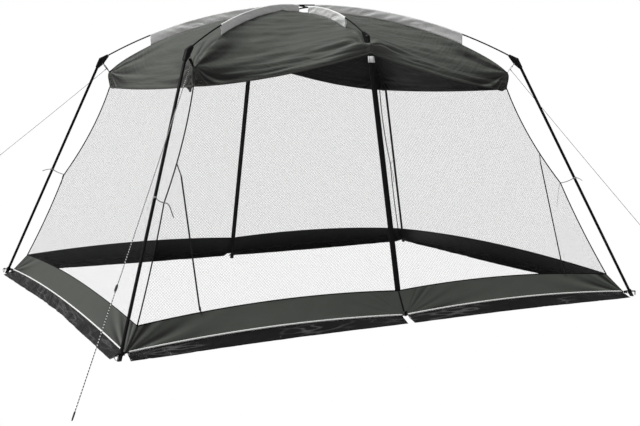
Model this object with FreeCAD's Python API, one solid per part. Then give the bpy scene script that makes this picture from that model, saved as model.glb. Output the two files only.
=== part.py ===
import FreeCAD, Part
import math
import os

# Screen house: a rectangular insect-proof shelter. Six steel legs carry three arched fibreglass
# roof poles that cross over the centre. A fabric canopy hangs under the poles in sewn sleeves, and
# mesh walls run from its hem down to a sloping fabric skirt with a loose flap round the ground.
# Millimetres. +X runs along the long side, +Y to the rear, +Z up. The origin is on the ground, at
# the centre of the plan.

V = FreeCAD.Vector
UP = V(0, 0, 1)

# ---- driving dimensions -------------------------------------------------------------------------
FOOT_X = 1935.0            # corner feet, from the centre
FOOT_Y = 1520.0
MID_FOOT_Y = 1375.0        # feet of the two middle legs, which stand inside the walls
HUB_X = 1290.0             # corner hubs, where leg and roof pole meet
HUB_Y = 922.0
HUB_Z = 1721.0
MID_HUB_Y = 925.0
MID_HUB_Z = 1845.0
PEAK_Z = 2126.0            # axis of the topmost roof pole at the crossing

# frame tubes and rods
LEG_R = 10.0               # corner leg tube, outside radius
MID_LEG_R = 12.5           # middle leg tube
LEG_WALL = 1.2
SPIGOT_LENGTH = 80.0       # reduced end of the lower tube, inside the upper one
SPIGOT_CLEARANCE = 0.2
LEG_SPLIT = 0.5            # where the two leg tubes join, as a share of the leg
POLE_R = 5.0
POLE_GAP = 0.3             # between crossing poles
FERRULE_LENGTH = 60.0
FERRULE_WALL = 0.6
FERRULE_CLEARANCE = 0.12
FERRULE_AT = 0.52          # ferrules, as a share of each half of a roof pole
SEAT_CLEARANCE = 0.2       # leg in hub, and cap on leg
POLE_CLEARANCE = 0.4       # curved pole in a straight socket or a sleeve

# hubs
HUB_WALL = 3.5
HUB_PLATE = 18.0           # thickness of the web between the two sockets
HUB_KNUCKLE = 1.3          # swell at the bend, over the leg socket
LEG_SOCKET = 68.0          # length of the leg socket from the bend
POLE_SOCKET = 66.0
LEG_SEAT = 17.0            # from the bend to the end of the leg tube
POLE_SEAT = 14.0
LUG_IN = 16.0              # lug hole, inward of the bend and below it
LUG_DOWN = 27.0
LUG_R = 8.0
HUB_CHEEK = 0.8            # web's width beside the leg socket and the lug, as shares
HUB_WAIST = 0.7            # of their radii
HUB_DIP = 0.6
HUB_OPENING = 17.0         # canopy's hole round the pole socket of a middle hub

# wire links between the hubs and the canopy's corners
WIRE_R = 2.0
BEND_R = 4.0               # centreline radius where the wire is bent
PIN_CLEARANCE = 0.08
LINK_LENGTH = 28.0
LINK_SIDE_GAP = 0.5
TAB_WALL = 2.0
TAB_SPREAD = 20.0          # half angle of the tab's eye, degrees
TAB_EYE = 12.0             # depth of the eye

# membrane, as outer surface points
FABRIC = 2.0
SEAT_GAP = 0.3             # soft piece against its neighbour
HEM_X = 1235.0
HEM_Y = 885.0
HEM_Z = 1505.0
HEM_SAG = 15.0             # of the hem on the two short sides
MID_HEM_Z = 1735.0
HEM_CURVE = 1.5            # exponent of the hem's rise to the middle
VALANCE = 123.0            # height of the canopy's upright corner edge
VALANCE_TUCK = 70.0        # the roof turns down further in, between the corners
APEX_DROP = 54.0           # canopy below the crossing poles
CORNER_SLEEVE_END = 1185.0 # plan distance from the peak
MID_SLEEVE_END = 630.0
SLEEVE_START = 85.0
CORNER_SLEEVE_RISE = 21.0  # extra sleeve height at its outer end
MID_SLEEVE_RISE = 39.0
MID_RISE_CURVE = 0.5       # exponents of that rise, outwards
CORNER_RISE_CURVE = 2
SLEEVE_WALL = 1.5
SLEEVE_OVERRUN = 20.0      # pole bore past both ends of a sleeve
TIE_X = 1535.0             # where the corner seams are tied out to the legs
TIE_Y = 1160.0
TIE_Z = 820.0
UPPER_BOW = 34.0           # corner seam, inward of a straight line
LOWER_BOW = 12.0
MID_SEAM_OFFSET = 17.5     # middle seam, outward of the leg's axis
SKIRT_TOP_X = 1790.0
SKIRT_TOP_Y = 1400.0
SKIRT_TOP_Z = 155.0
SKIRT_X = 1890.0
SKIRT_Y = 1482.0
SKIRT_Z = 26.0
MID_SKIRT_TOP_Z = 185.0
MID_SKIRT_Y = 1430.0
MID_SKIRT_Z = 35.0
SKIRT_TOP_LIFT = 38.0      # upward curve of the skirt's edges between the legs
SKIRT_LIFT = 38.0
SIDE_LIFT = 14.0           # more on the two short sides
SKIRT_TUCK = 22.0          # inward curve of the skirt's top edge
SEAM_FADE = 8              # exponent of the corner seam's pull as it dies out along a wall
FLAP_WIDTH = 86.0
FLAP_CORNER_TRIM = 14.0    # flap ends stop short of the legs
FLAP_MID_TRIM = 19.0

# zips of the two doors
ZIP_X = 1400.0
ZIP_TOP_Z = 965.0
ZIP_END = 12.0             # tape ends short of the skirt
TAPE_WIDTH = 18.0
TAPE_THICK = 2.0
RIB_WIDTH = 6.0
RIB_HEIGHT = 1.8
SLIDER_LENGTH = 18.0
SLIDER_WIDTH = 11.0
SLIDER_HEIGHT = 5.5
BAIL_R = 1.5
PULL_LENGTH = 34.0
PULL_WIDTH = 8.0
PULL_THICK = 1.6
ZIP_GAP = 0.3
BAIL_WALL = 1.2            # pull's eye round the slider's bail
SLIDER_START = 4.0         # from the tape's lower end
EAR_WALL = 1.5             # lugs that hold the bail
EAR_LENGTH = 5.0
EAR_SINK = 0.5             # lugs' root, inside the slider

# feet, pegging rings and tapes
CAP_HEIGHT = 32.0
CAP_WALL = 3.0
RING_WIDTH = 30.0
RING_DROP = 27.0
RING_WIRE_R = 2.0
RING_SHOULDER = 0.5        # where the ring's sides turn in, as a share of its drop
RING_TOE = 0.5             # width of its lower bar, as a share of the ring's width
STRAP_WIDTH = 20.0
STRAP_THICK = 2.0
EYELET_R = 4.0
EYELET_AT = 12.0           # from the strap's inner end
STRAP_GAP = 1.0            # strap's inner end, clear of the skirt
TAPE_BAND = 10.0
TAPE_WALL = 1.5
TAIL_LENGTH = 62.0
TIE_LEG_Z = 860.0
TIE_KNOT_AT = 0.55         # knot, as a share of the tie from seam to leg
MID_WRAP = 44.0
MID_WRAP_DOWN = 40.0       # below the canopy's hem
RING_Z = 36.0
MID_RING_Z = 62.0
CORNER_RING_OUT = 27.0     # ring's bar, outward of the cap
MID_RING_OUT = 8.0         # ring's bar, outward of the skirt

# guy lines
GUY_R = 1.5
FRONT_GUY_R = 2.5
TENSIONER_LENGTH = 42.0
TENSIONER_WIDTH = 14.0
TENSIONER_THICK = 9.0
TENSIONER_AT = 0.70        # along the front left line
GUY_ANCHOR = 12.0          # from the tab's eye, along the tab
GUY_WHIPPING = 14.0        # bound end of each line
TIP_R = 4.0
TIP_LENGTH = 45.0
LOOP_R = 16.0
STAKES = {
    "front_left": V(-2430, -2410, 0),
    "rear_left": V(-3109, 1774, 0),
    "front_right": V(2080, -2100, 0),
}
GUY_SEEN = {"rear_left": 1100.0, "front_right": 1500.0}

# ---- plan of the six legs -----------------------------------------------------------------------
CORNERS = {
    "rear_left": (-1, 1),
    "front_left": (-1, -1),
    "front_right": (1, -1),
    "rear_right": (1, 1),
}
MIDDLES = {"front_middle": (0, -1), "rear_middle": (0, 1)}
RING = ["rear_left", "front_left", "front_middle", "front_right", "rear_right", "rear_middle"]
PANELS = {
    "left": ("rear_left", "front_left"),
    "front_left": ("front_left", "front_middle"),
    "front_right": ("front_middle", "front_right"),
    "right": ("front_right", "rear_right"),
    "rear_right": ("rear_right", "rear_middle"),
    "rear_left": ("rear_middle", "rear_left"),
}
PANEL_COLUMNS = 6          # facets of each sheet
MESH_ROWS = 6
ROOF_SHARES = (0, 0.25, 0.5, 0.75, 1.0)
BISECTIONS = 40
THROUGH = 60.0             # tools that cut right through a sheet

os.makedirs("parts", exist_ok=True)


def save(name, shapes):
    solids = []
    for shape in shapes if isinstance(shapes, list) else [shapes]:
        solids += shape.Solids
    for solid in solids:
        assert solid.isValid(), name
    whole = solids[0] if len(solids) == 1 else Part.makeCompound(solids)
    whole.exportStep("parts/%s.step" % name)
    print("%-24s %3d solids %5d faces %12.0f mm3" % (name, len(solids), len(whole.Faces), whole.Volume))


def flip(point, sign):
    return V(point.x * sign[0], point.y * sign[1], point.z)


def is_corner(name):
    return name in CORNERS


def sign_of(name):
    return CORNERS[name] if is_corner(name) else MIDDLES[name]


# ---- frame --------------------------------------------------------------------------------------
def foot_of(name):
    return flip(V(FOOT_X, FOOT_Y, 0) if is_corner(name) else V(0, MID_FOOT_Y, 0), sign_of(name))


def hub_of(name):
    point = V(HUB_X, HUB_Y, HUB_Z) if is_corner(name) else V(0, MID_HUB_Y, MID_HUB_Z)
    return flip(point, sign_of(name))


def leg_radius(name):
    return LEG_R if is_corner(name) else MID_LEG_R


def outward(name):
    hub = hub_of(name)
    return V(hub.x, hub.y, 0).normalize()


POLE_STEP = 2 * POLE_R + POLE_GAP
POLES = {
    "roof_pole_left_rear": ("rear_left", "front_right", PEAK_Z),
    "roof_pole_left_front": ("front_left", "rear_right", PEAK_Z - POLE_STEP),
    "roof_pole_middle": ("front_middle", "rear_middle", PEAK_Z - 2 * POLE_STEP),
}


def pole_of(name):
    for start, end, top in POLES.values():
        if name in (start, end):
            return top


def arc_radius(name):
    hub = hub_of(name)
    reach = math.hypot(hub.x, hub.y)
    drop = pole_of(name) - hub.z
    return (reach * reach + drop * drop) / (2 * drop)


def pole_height(name, reach):
    radius = arc_radius(name)
    return pole_of(name) - radius + math.sqrt(radius * radius - reach * reach)


def pole_point(name, reach):
    return outward(name) * reach + UP * pole_height(name, reach)


def rod(start, end, radius):
    axis = end - start
    return Part.makeCylinder(radius, axis.Length, start, axis)


def arc_rod(name, reach_from, reach_to, radius):
    # a rod or tube core that follows the roof pole between two plan distances from the peak
    top = pole_of(name)
    big = arc_radius(name)
    centre = UP * (top - big)
    begin = pole_point(name, reach_from)
    turn = math.degrees(math.asin(reach_to / big) - math.asin(reach_from / big))
    side = UP.cross(outward(name))
    tangent = (begin - centre).cross(side)
    disc = Part.Face(Part.Wire(Part.makeCircle(radius, begin, tangent)))
    return disc.revolve(centre, side, turn)


def leg_axis(name):
    return (foot_of(name) - hub_of(name)).normalize()


def make_legs():
    for name in RING:
        radius = leg_radius(name)
        axis = leg_axis(name)
        hub = hub_of(name)
        foot = cap_top(name)
        top = hub + axis * LEG_SEAT
        split = top + (foot - top) * LEG_SPLIT
        inner = radius - LEG_WALL
        upper = rod(top, split, radius).cut(rod(top - axis, split + axis, inner))
        spigot = inner - SPIGOT_CLEARANCE
        lower = rod(split, foot, radius).fuse(rod(split - axis * SPIGOT_LENGTH, split, spigot))
        lower = lower.cut(rod(split - axis * (SPIGOT_LENGTH + 1), foot + axis, spigot - LEG_WALL))
        save("leg_upper_" + name, upper)
        save("leg_lower_" + name, lower)


def cap_top(name):
    # end of the leg tube: the cap's floor lies under it, all the way across
    axis = leg_axis(name)
    radius = leg_radius(name)
    lean = math.hypot(axis.x, axis.y) / -axis.z
    rise = CAP_WALL + (radius + CAP_WALL) * lean
    return foot_of(name) - axis * (rise / -axis.z)


def make_caps():
    caps = []
    for name in RING:
        axis = leg_axis(name)
        radius = leg_radius(name) + SEAT_CLEARANCE
        end = cap_top(name)
        outer = rod(end - axis * CAP_HEIGHT, foot_of(name) + axis * 2 * CAP_HEIGHT, radius + CAP_WALL)
        ground = Part.makeBox(400, 400, 200, foot_of(name) - V(200, 200, 200))
        cap = outer.cut(rod(end - axis * (CAP_HEIGHT + 1), end, radius)).cut(ground)
        caps.append(cap)
    save("leg_end_caps", caps)


def plane_point(name, out, up):
    # a point in the upright plane of a hub's roof pole, measured from its bend
    return hub_of(name) + outward(name) * out + UP * up


def pole_direction(name):
    hub = hub_of(name)
    reach = math.hypot(hub.x, hub.y)
    return (pole_point(name, reach - POLE_SOCKET) - hub).normalize()


def prism(points, normal, thickness):
    wire = Part.makePolygon(points + [points[0]])
    face = Part.Face(wire)
    face.translate(normal * (-thickness / 2))
    return face.extrude(normal * thickness)


def hub_shape(name):
    hub = hub_of(name)
    axis = leg_axis(name)
    pole = pole_direction(name)
    side = UP.cross(outward(name))
    leg_bore = leg_radius(name) + SEAT_CLEARANCE
    pole_bore = POLE_R + POLE_CLEARANCE
    leg_out = leg_bore + HUB_WALL
    pole_out = pole_bore + HUB_WALL
    above = side.cross(pole) * -1
    above = above if above.z > 0 else above * -1
    beside = V(axis.x, axis.y, axis.z)
    beside = beside - side * beside.dot(side)
    away = side.cross(beside).normalize()
    away = away if away.dot(outward(name)) > 0 else away * -1
    pole_end = hub + pole * POLE_SOCKET
    leg_end = hub + beside.normalize() * LEG_SOCKET
    lug = plane_point(name, -LUG_IN, -LUG_DOWN)
    outline = [
        pole_end + above * pole_out,
        hub + (above + away).normalize() * leg_out,
        leg_end + away * leg_out * HUB_CHEEK,
        leg_end - away * leg_out * HUB_CHEEK,
        lug + (leg_end - hub).normalize() * LUG_R * HUB_DIP - away * LUG_R * HUB_WAIST,
        lug - away * LUG_R * HUB_CHEEK,
        pole_end - above * pole_out,
    ]
    body = prism(outline, side, HUB_PLATE)
    body = body.fuse(Part.makeSphere(leg_out + HUB_KNUCKLE, hub))
    body = body.fuse(rod(hub, hub + axis * LEG_SOCKET, leg_out))
    body = body.fuse(rod(hub, pole_end, pole_out))
    body = body.fuse(Part.makeCylinder(LUG_R, HUB_PLATE, lug - side * (HUB_PLATE / 2), side))
    body = body.cut(rod(hub + axis * LEG_SEAT, hub + axis * 2 * LEG_SOCKET, leg_bore))
    body = body.cut(rod(hub + pole * POLE_SEAT, pole_end + pole * POLE_SOCKET, pole_bore))
    hole = WIRE_R + PIN_CLEARANCE
    body = body.cut(Part.makeCylinder(hole, 4 * HUB_PLATE, lug - side * (2 * HUB_PLATE), side))
    return body.removeSplitter()


def make_hubs():
    for name in CORNERS:
        save("corner_hub_" + name, hub_shape(name))
    for name in MIDDLES:
        save("middle_hub_" + name.split("_")[0], hub_shape(name))


def pole_end_reach(name):
    hub = hub_of(name)
    run = pole_direction(name)
    return math.hypot(hub.x, hub.y) - (POLE_SEAT + SEAT_GAP) * math.hypot(run.x, run.y)


def make_poles():
    ferrules = []
    for node, (start, end, _) in POLES.items():
        reach = pole_end_reach(start)
        halves = [arc_rod(name, 0, reach, POLE_R) for name in (start, end)]
        pole = halves[0].fuse(halves[1]).removeSplitter()
        for name in (start, end):
            hub = hub_of(name)
            middle = math.hypot(hub.x, hub.y) * FERRULE_AT
            near = middle - FERRULE_LENGTH / 2
            far = middle + FERRULE_LENGTH / 2
            core = arc_rod(name, near, far, POLE_R - FERRULE_WALL - FERRULE_CLEARANCE)
            pole = pole.cut(arc_rod(name, near, far, 3 * POLE_R)).fuse(core)
            bore = arc_rod(name, near - 1, far + 1, POLE_R - FERRULE_WALL)
            ferrules.append(arc_rod(name, near, far, POLE_R).cut(bore))
        save(node, pole.removeSplitter())
    save("roof_pole_ferrules", ferrules)


# ---- membrane -----------------------------------------------------------------------------------
def mix(a, b, share):
    return a + (b - a) * share


def leg_line(name, z):
    hub = hub_of(name)
    return mix(foot_of(name), hub, z / hub.z)


def mid_seam(name, z):
    # the middle seams run down the outside of the middle legs
    return leg_line(name, z) + outward(name) * MID_SEAM_OFFSET


def sleeve_end(name):
    return CORNER_SLEEVE_END if is_corner(name) else MID_SLEEVE_END


def ridge_point(name, reach):
    # canopy seam under a roof pole; the sleeve spans from here to the pole
    end = sleeve_end(name)
    rise = CORNER_SLEEVE_RISE if is_corner(name) else MID_SLEEVE_RISE
    base = PEAK_Z - APEX_DROP
    curve = CORNER_RISE_CURVE if is_corner(name) else MID_RISE_CURVE
    depth = pole_of(name) - base + rise * (reach / end) ** curve
    return outward(name) * reach + UP * (pole_height(name, reach) - depth)


def hem_point(name):
    if is_corner(name):
        return flip(V(HEM_X, HEM_Y, HEM_Z), sign_of(name))
    return mid_seam(name, MID_HEM_Z)


def eave_point(name):
    return hem_point(name) + UP * VALANCE


def skirt_top_point(name):
    if is_corner(name):
        return flip(V(SKIRT_TOP_X, SKIRT_TOP_Y, SKIRT_TOP_Z), sign_of(name))
    return mid_seam(name, MID_SKIRT_TOP_Z)


def skirt_point(name):
    point = V(SKIRT_X, SKIRT_Y, SKIRT_Z) if is_corner(name) else V(0, MID_SKIRT_Y, MID_SKIRT_Z)
    return flip(point, sign_of(name))


def tie_point(name):
    return flip(V(TIE_X, TIE_Y, TIE_Z), sign_of(name))


def seam_offset(name, share):
    # how far a corner seam leaves the straight line from the hem to the skirt
    if not is_corner(name):
        return V(0, 0, 0)
    hem = hem_point(name)
    low = skirt_top_point(name)
    tie = tie_point(name)
    tie_share = (hem.z - tie.z) / (hem.z - low.z)
    pull = tie - mix(hem, low, tie_share)
    inward = outward(name) * -1
    if share < tie_share:
        part = share / tie_share
        return pull * part + inward * UPPER_BOW * hump(part)
    part = (share - tie_share) / (1 - tie_share)
    return pull * (1 - part) + inward * LOWER_BOW * hump(part)


def panel_out(panel):
    start, end = PANELS[panel]
    run = hem_point(end) - hem_point(start)
    normal = V(run.y, -run.x, 0).normalize()
    return normal if normal.dot(hem_point(start)) > 0 else normal * -1


def hump(t):
    return 4 * t * (1 - t)


def is_side(panel):
    return panel in ("left", "right")


def hem_line(panel, t):
    start, end = PANELS[panel]
    point = mix(hem_point(start), hem_point(end), t)
    if is_side(panel):
        return point - UP * HEM_SAG * hump(t)
    from_corner = t if is_corner(start) else 1 - t
    point.z = HEM_Z + (MID_HEM_Z - HEM_Z) * from_corner ** HEM_CURVE
    return point


def eave_line(panel, t):
    start, end = PANELS[panel]
    point = mix(eave_point(start), eave_point(end), t)
    point.z = hem_line(panel, t).z + VALANCE
    return point - panel_out(panel) * VALANCE_TUCK * hump(t)


def skirt_top_line(panel, t):
    start, end = PANELS[panel]
    point = mix(skirt_top_point(start), skirt_top_point(end), t)
    lift = SKIRT_TOP_LIFT + (SIDE_LIFT if is_side(panel) else 0)
    tuck = 0 if is_side(panel) else SKIRT_TUCK
    return point + UP * lift * hump(t) - panel_out(panel) * tuck * hump(t)


def skirt_line(panel, t):
    start, end = PANELS[panel]
    point = mix(skirt_point(start), skirt_point(end), t)
    lift = SKIRT_LIFT + (SIDE_LIFT if is_side(panel) else 0)
    return point + UP * lift * hump(t)


def station_out(name):
    # outward direction in plan, shared by the two panels that meet at a leg
    return flip(V(1, 1, 0), sign_of(name)).normalize() if is_corner(name) else outward(name)


def out_at(panel, t):
    start, end = PANELS[panel]
    if t == 0:
        return station_out(start)
    if t == 1:
        return station_out(end)
    return panel_out(panel)


def flap_line(panel, t):
    # the flap's outer edge lies on the ground
    top = skirt_line(panel, t)
    reach = math.sqrt(max(FLAP_WIDTH ** 2 - top.z ** 2, 0))
    point = top + panel_out(panel) * reach
    return V(point.x, point.y, 0)


def wall_point(panel, t, share):
    start, end = PANELS[panel]
    point = mix(hem_line(panel, t), skirt_top_line(panel, t), share)
    near_start = (1 - t) ** SEAM_FADE
    near_end = t ** SEAM_FADE
    return point + seam_offset(start, share) * near_start + seam_offset(end, share) * near_end


def columns():
    return [i / PANEL_COLUMNS for i in range(PANEL_COLUMNS + 1)]


def thicken(grid, panel, tilt):
    # inner face of a sheet: each point moved inward by the fabric's thickness
    inner = []
    for row, down in zip(grid, tilt):
        line = []
        for point, t in zip(row, columns()):
            inward = out_at(panel, t) * -math.cos(down) - UP * math.sin(down)
            line.append(point + inward * FABRIC)
        inner.append(line)
    return inner


def triangle(a, b, c):
    return Part.Face(Part.makePolygon([a, b, c, a]))


def quad(a, b, c, d):
    # two triangles, split the same way whichever neighbour asks for the edge
    slant = V(1, 2, 3)
    if (a + c).dot(slant) <= (b + d).dot(slant):
        return [triangle(a, b, c), triangle(a, c, d)]
    return [triangle(a, b, d), triangle(b, c, d)]


def close(faces):
    shell = Part.makeCompound(faces)
    shell.sewShape()
    solid = Part.makeSolid(shell.Shells[0])
    return solid if solid.Volume > 0 else solid.reversed()


def sheet(outer, inner):
    faces = []
    rows = len(outer) - 1
    cols = len(outer[0]) - 1
    for i in range(rows):
        for j in range(cols):
            faces += quad(outer[i][j], outer[i + 1][j], outer[i + 1][j + 1], outer[i][j + 1])
            faces += quad(inner[i][j], inner[i][j + 1], inner[i + 1][j + 1], inner[i + 1][j])
    for j in range(cols):
        for i in (0, rows):
            faces += quad(outer[i][j], outer[i][j + 1], inner[i][j + 1], inner[i][j])
    for i in range(rows):
        for j in (0, cols):
            faces += quad(outer[i][j], outer[i + 1][j], inner[i + 1][j], inner[i][j])
    return close(faces)


def mesh_grid(panel):
    return [[wall_point(panel, t, i / MESH_ROWS) for t in columns()] for i in range(MESH_ROWS + 1)]


def zip_side(panel):
    return -1 if panel == "front_left" else 1


def wall_at(panel, x, share):
    # point of a wall with the given x
    low, high = 0.0, 1.0
    for _ in range(BISECTIONS):
        t = (low + high) / 2
        if wall_point(panel, t, share).x < x:
            low = t
        else:
            high = t
    return wall_point(panel, low, share)


def zip_ends(panel):
    # the zip is straight, from the corner seam down to the skirt
    hem = hem_point(panel)
    share = (hem.z - ZIP_TOP_Z) / (hem.z - skirt_top_point(panel).z)
    top = wall_at(panel, zip_side(panel) * ZIP_X, share)
    bottom = wall_at(panel, zip_side(panel) * ZIP_X, 1.0)
    along = (top - bottom).normalize()
    return top, bottom + along * ZIP_END


def zip_frame(panel):
    top, bottom = zip_ends(panel)
    along = (top - bottom).normalize()
    across = V(1, 0, 0)
    normal = along.cross(across)
    normal = normal if normal.y < 0 else normal * -1
    return top, bottom, along, across, normal


def bar(origin, along, across, normal, length, width, low, high):
    # a straight bar on a surface: origin at its end, low and high measured along the normal
    corner = origin - across * (width / 2) + normal * low
    far = corner + along * length
    points = [corner, far, far + across * width, corner + across * width]
    return Part.Face(Part.makePolygon(points + [points[0]])).extrude(normal * (high - low))


def zip_slot(panel):
    top, bottom, along, across, normal = zip_frame(panel)
    origin = bottom - along * SEAT_GAP
    length = (top - bottom).Length + 2 * SEAT_GAP
    return bar(origin, along, across, normal, length, TAPE_WIDTH + 2 * SEAT_GAP, -THROUGH, THROUGH)


def make_walls():
    for panel in PANELS:
        grid = mesh_grid(panel)
        wall = sheet(grid, thicken(grid, panel, [0.0] * len(grid)))
        if panel in ("front_left", "front_right"):
            wall = wall.cut(zip_slot(panel))
        save("mesh_wall_" + panel, wall)


def make_skirts():
    flaps = []
    for panel in PANELS:
        top = [skirt_top_line(panel, t) for t in columns()]
        low = [skirt_line(panel, t) for t in columns()]
        middle = [mix(a, b, 0.5) for a, b in zip(top, low)]
        grid = [top, middle, low]
        save("skirt_" + panel, sheet(grid, thicken(grid, panel, [0.0] * 3)))
        flap = [[point - UP * SEAT_GAP for point in low], [flap_line(panel, t) for t in columns()]]
        flaps.append(sheet(trim(flap), trim(thicken(flap, panel, [0.0] * 2))))
    save("ground_flaps", flaps)


def trim(grid):
    # flaps stop short of the seam at each leg
    rows = []
    for row in grid:
        line = list(row)
        for end, inner in ((0, 1), (-1, -2)):
            at_middle = abs(line[end].x) < 1
            cut = FLAP_MID_TRIM if at_middle else FLAP_CORNER_TRIM
            span = line[inner] - line[end]
            line[end] = line[end] + span * (cut / span.Length)
        rows.append(line)
    return rows


def roof_rows(name):
    end = sleeve_end(name)
    points = [ridge_point(name, end * share) for share in ROOF_SHARES]
    return points + [eave_point(name), hem_point(name)]


def roof_grid(panel):
    start, end = PANELS[panel]
    first = roof_rows(start)
    last = roof_rows(end)
    grid = [[mix(a, b, t) for t in columns()] for a, b in zip(first[:-2], last[:-2])]
    grid.append([eave_line(panel, t) for t in columns()])
    grid.append([hem_line(panel, t) for t in columns()])
    return grid


def make_canopy():
    tilt = [math.pi / 2] * len(ROOF_SHARES) + [math.pi / 4, 0.0]
    faces = []
    for panel in PANELS:
        outer = roof_grid(panel)
        inner = thicken(outer, panel, tilt)
        for j in range(PANEL_COLUMNS):
            faces.append(triangle(outer[0][0], outer[1][j], outer[1][j + 1]))
            faces.append(triangle(inner[0][0], inner[1][j], inner[1][j + 1]))
            faces += quad(outer[-1][j], outer[-1][j + 1], inner[-1][j + 1], inner[-1][j])
            for i in range(1, len(outer) - 1):
                faces += quad(outer[i][j], outer[i + 1][j], outer[i + 1][j + 1], outer[i][j + 1])
                faces += quad(inner[i][j], inner[i][j + 1], inner[i + 1][j + 1], inner[i + 1][j])
    canopy = close(faces)
    for name in MIDDLES:
        hub = hub_of(name)
        pole = pole_direction(name)
        clear = leg_radius(name) + SEAT_CLEARANCE + HUB_WALL + HUB_KNUCKLE + 4 * SEAT_GAP
        canopy = canopy.cut(Part.makeSphere(clear, hub))
        canopy = canopy.cut(rod(hub, hub + pole * (POLE_SOCKET + HUB_OPENING), HUB_OPENING))
    save("canopy", canopy)


def make_sleeves():
    sleeves = []
    inner = POLE_R + POLE_CLEARANCE
    for name in RING:
        end = sleeve_end(name)
        tube = arc_rod(name, SLEEVE_START, end, inner + SLEEVE_WALL)
        ridge = [ridge_point(name, end * share) + UP * SEAT_GAP for share in ROOF_SHARES]
        low = [mix(ridge[0], ridge[1], SLEEVE_START / (end * ROOF_SHARES[1]))] + ridge[1:]
        begin = pole_point(name, SLEEVE_START)
        middle = pole_point(name, (SLEEVE_START + end) / 2)
        finish = pole_point(name, end)
        edges = [Part.Arc(begin, middle, finish).toShape(), Part.makeLine(finish, low[-1])]
        edges += [Part.makeLine(low[i], low[i - 1]) for i in range(len(low) - 1, 0, -1)]
        edges.append(Part.makeLine(low[0], begin))
        side = UP.cross(outward(name))
        web = Part.Face(Part.Wire(edges))
        web.translate(side * (-SLEEVE_WALL / 2))
        web = web.extrude(side * SLEEVE_WALL)
        bore = arc_rod(name, SLEEVE_START - SLEEVE_OVERRUN, end + SLEEVE_OVERRUN, inner)
        sleeve = tube.fuse(web).cut(bore)
        sleeves.append(sleeve.removeSplitter())
    save("pole_sleeves", sleeves)


# ---- zips ---------------------------------------------------------------------------------------
def make_zips():
    tracks = []
    for panel in ("front_left", "front_right"):
        top, bottom, along, across, normal = zip_frame(panel)
        length = (top - bottom).Length
        rib_top = TAPE_THICK + RIB_HEIGHT
        tape = bar(bottom, along, across, normal, length, TAPE_WIDTH, 0, TAPE_THICK)
        rib = bar(bottom, along, across, normal, length, RIB_WIDTH, TAPE_THICK, rib_top)
        tracks.append(tape.fuse(rib).removeSplitter())
        save("zip_slider_" + panel, slider_shape(panel, rib_top))
        save("zip_pull_" + panel, pull_shape(panel))
    save("door_zippers", tracks)


def slider_shape(panel, rib_top):
    top, bottom, along, across, normal = zip_frame(panel)
    low = TAPE_THICK + ZIP_GAP
    high = low + SLIDER_HEIGHT
    start = bottom + along * SLIDER_START
    body = bar(start, along, across, normal, SLIDER_LENGTH, SLIDER_WIDTH, low, high)
    channel_width = RIB_WIDTH + 2 * ZIP_GAP
    channel_top = rib_top + ZIP_GAP
    channel = bar(start - along, along, across, normal, SLIDER_LENGTH + 2, channel_width, 0, channel_top)
    body = body.cut(channel)
    pivot = zip_pivot(panel)
    root = high - EAR_SINK - (pivot - start).dot(normal)
    for side in (-1, 1):
        middle = side * (PULL_WIDTH / 2 + ZIP_GAP + EAR_WALL / 2)
        origin = pivot - along * (EAR_LENGTH / 2) + across * middle
        body = body.fuse(bar(origin, along, across, normal, EAR_LENGTH, EAR_WALL, root, BAIL_R + 1))
    reach = across * (PULL_WIDTH / 2 + ZIP_GAP + EAR_WALL / 2)
    return body.fuse(rod(pivot - reach, pivot + reach, BAIL_R))


def pull_shape(panel):
    top, bottom, along, across, normal = zip_frame(panel)
    pivot = zip_pivot(panel)
    outer = BAIL_R + BAIL_WALL
    half = across * (PULL_WIDTH / 2)
    start = pivot - along * PULL_LENGTH
    flat = bar(start, along, across, normal, PULL_LENGTH, PULL_WIDTH, outer - PULL_THICK, outer)
    pull = rod(pivot - half, pivot + half, outer).fuse(flat)
    pull = pull.cut(rod(pivot - half * 2, pivot + half * 2, BAIL_R + PIN_CLEARANCE))
    return pull.removeSplitter()


def zip_pivot(panel):
    top, bottom, along, across, normal = zip_frame(panel)
    height = TAPE_THICK + ZIP_GAP + SLIDER_HEIGHT + BAIL_R + BAIL_WALL + ZIP_GAP
    return bottom + along * (SLIDER_START + SLIDER_LENGTH / 2) + normal * height


# ---- corner links, tabs, rings, tapes -----------------------------------------------------------
def lug_point(name):
    return plane_point(name, -LUG_IN, -LUG_DOWN)


def link_direction(name):
    return (eave_point(name) - lug_point(name)).normalize()


def wire_loop(points, radius):
    # closed loop of round wire in one plane, bent to the same radius at every corner
    pieces = []
    count = len(points)
    for i, corner in enumerate(points):
        before = (corner - points[i - 1]).normalize()
        after = (points[(i + 1) % count] - corner).normalize()
        turn = before.getAngle(after)
        setback = BEND_R * math.tan(turn / 2)
        start = corner - before * setback
        normal = before.cross(after).normalize()
        centre = start + normal.cross(before) * BEND_R
        disc = Part.Face(Part.Wire(Part.makeCircle(radius, start, before)))
        pieces.append(disc.revolve(centre, normal, math.degrees(turn)))
        far = points[(i + 1) % count]
        beyond = (points[(i + 2) % count] - far).normalize()
        far_setback = BEND_R * math.tan(after.getAngle(beyond) / 2)
        pieces.append(rod(corner + after * setback, far - after * far_setback, radius))
    return pieces[0].multiFuse(pieces[1:]).removeSplitter()


def make_links():
    for name in CORNERS:
        side = UP.cross(outward(name))
        lug = lug_point(name)
        half = HUB_PLATE / 2 + LINK_SIDE_GAP + BEND_R
        reach = link_direction(name) * LINK_LENGTH
        near = lug - side * half
        far = lug + side * half
        points = [near, far, far + reach, near + reach]
        save("corner_link_" + name, wire_loop(points, WIRE_R))


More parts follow.
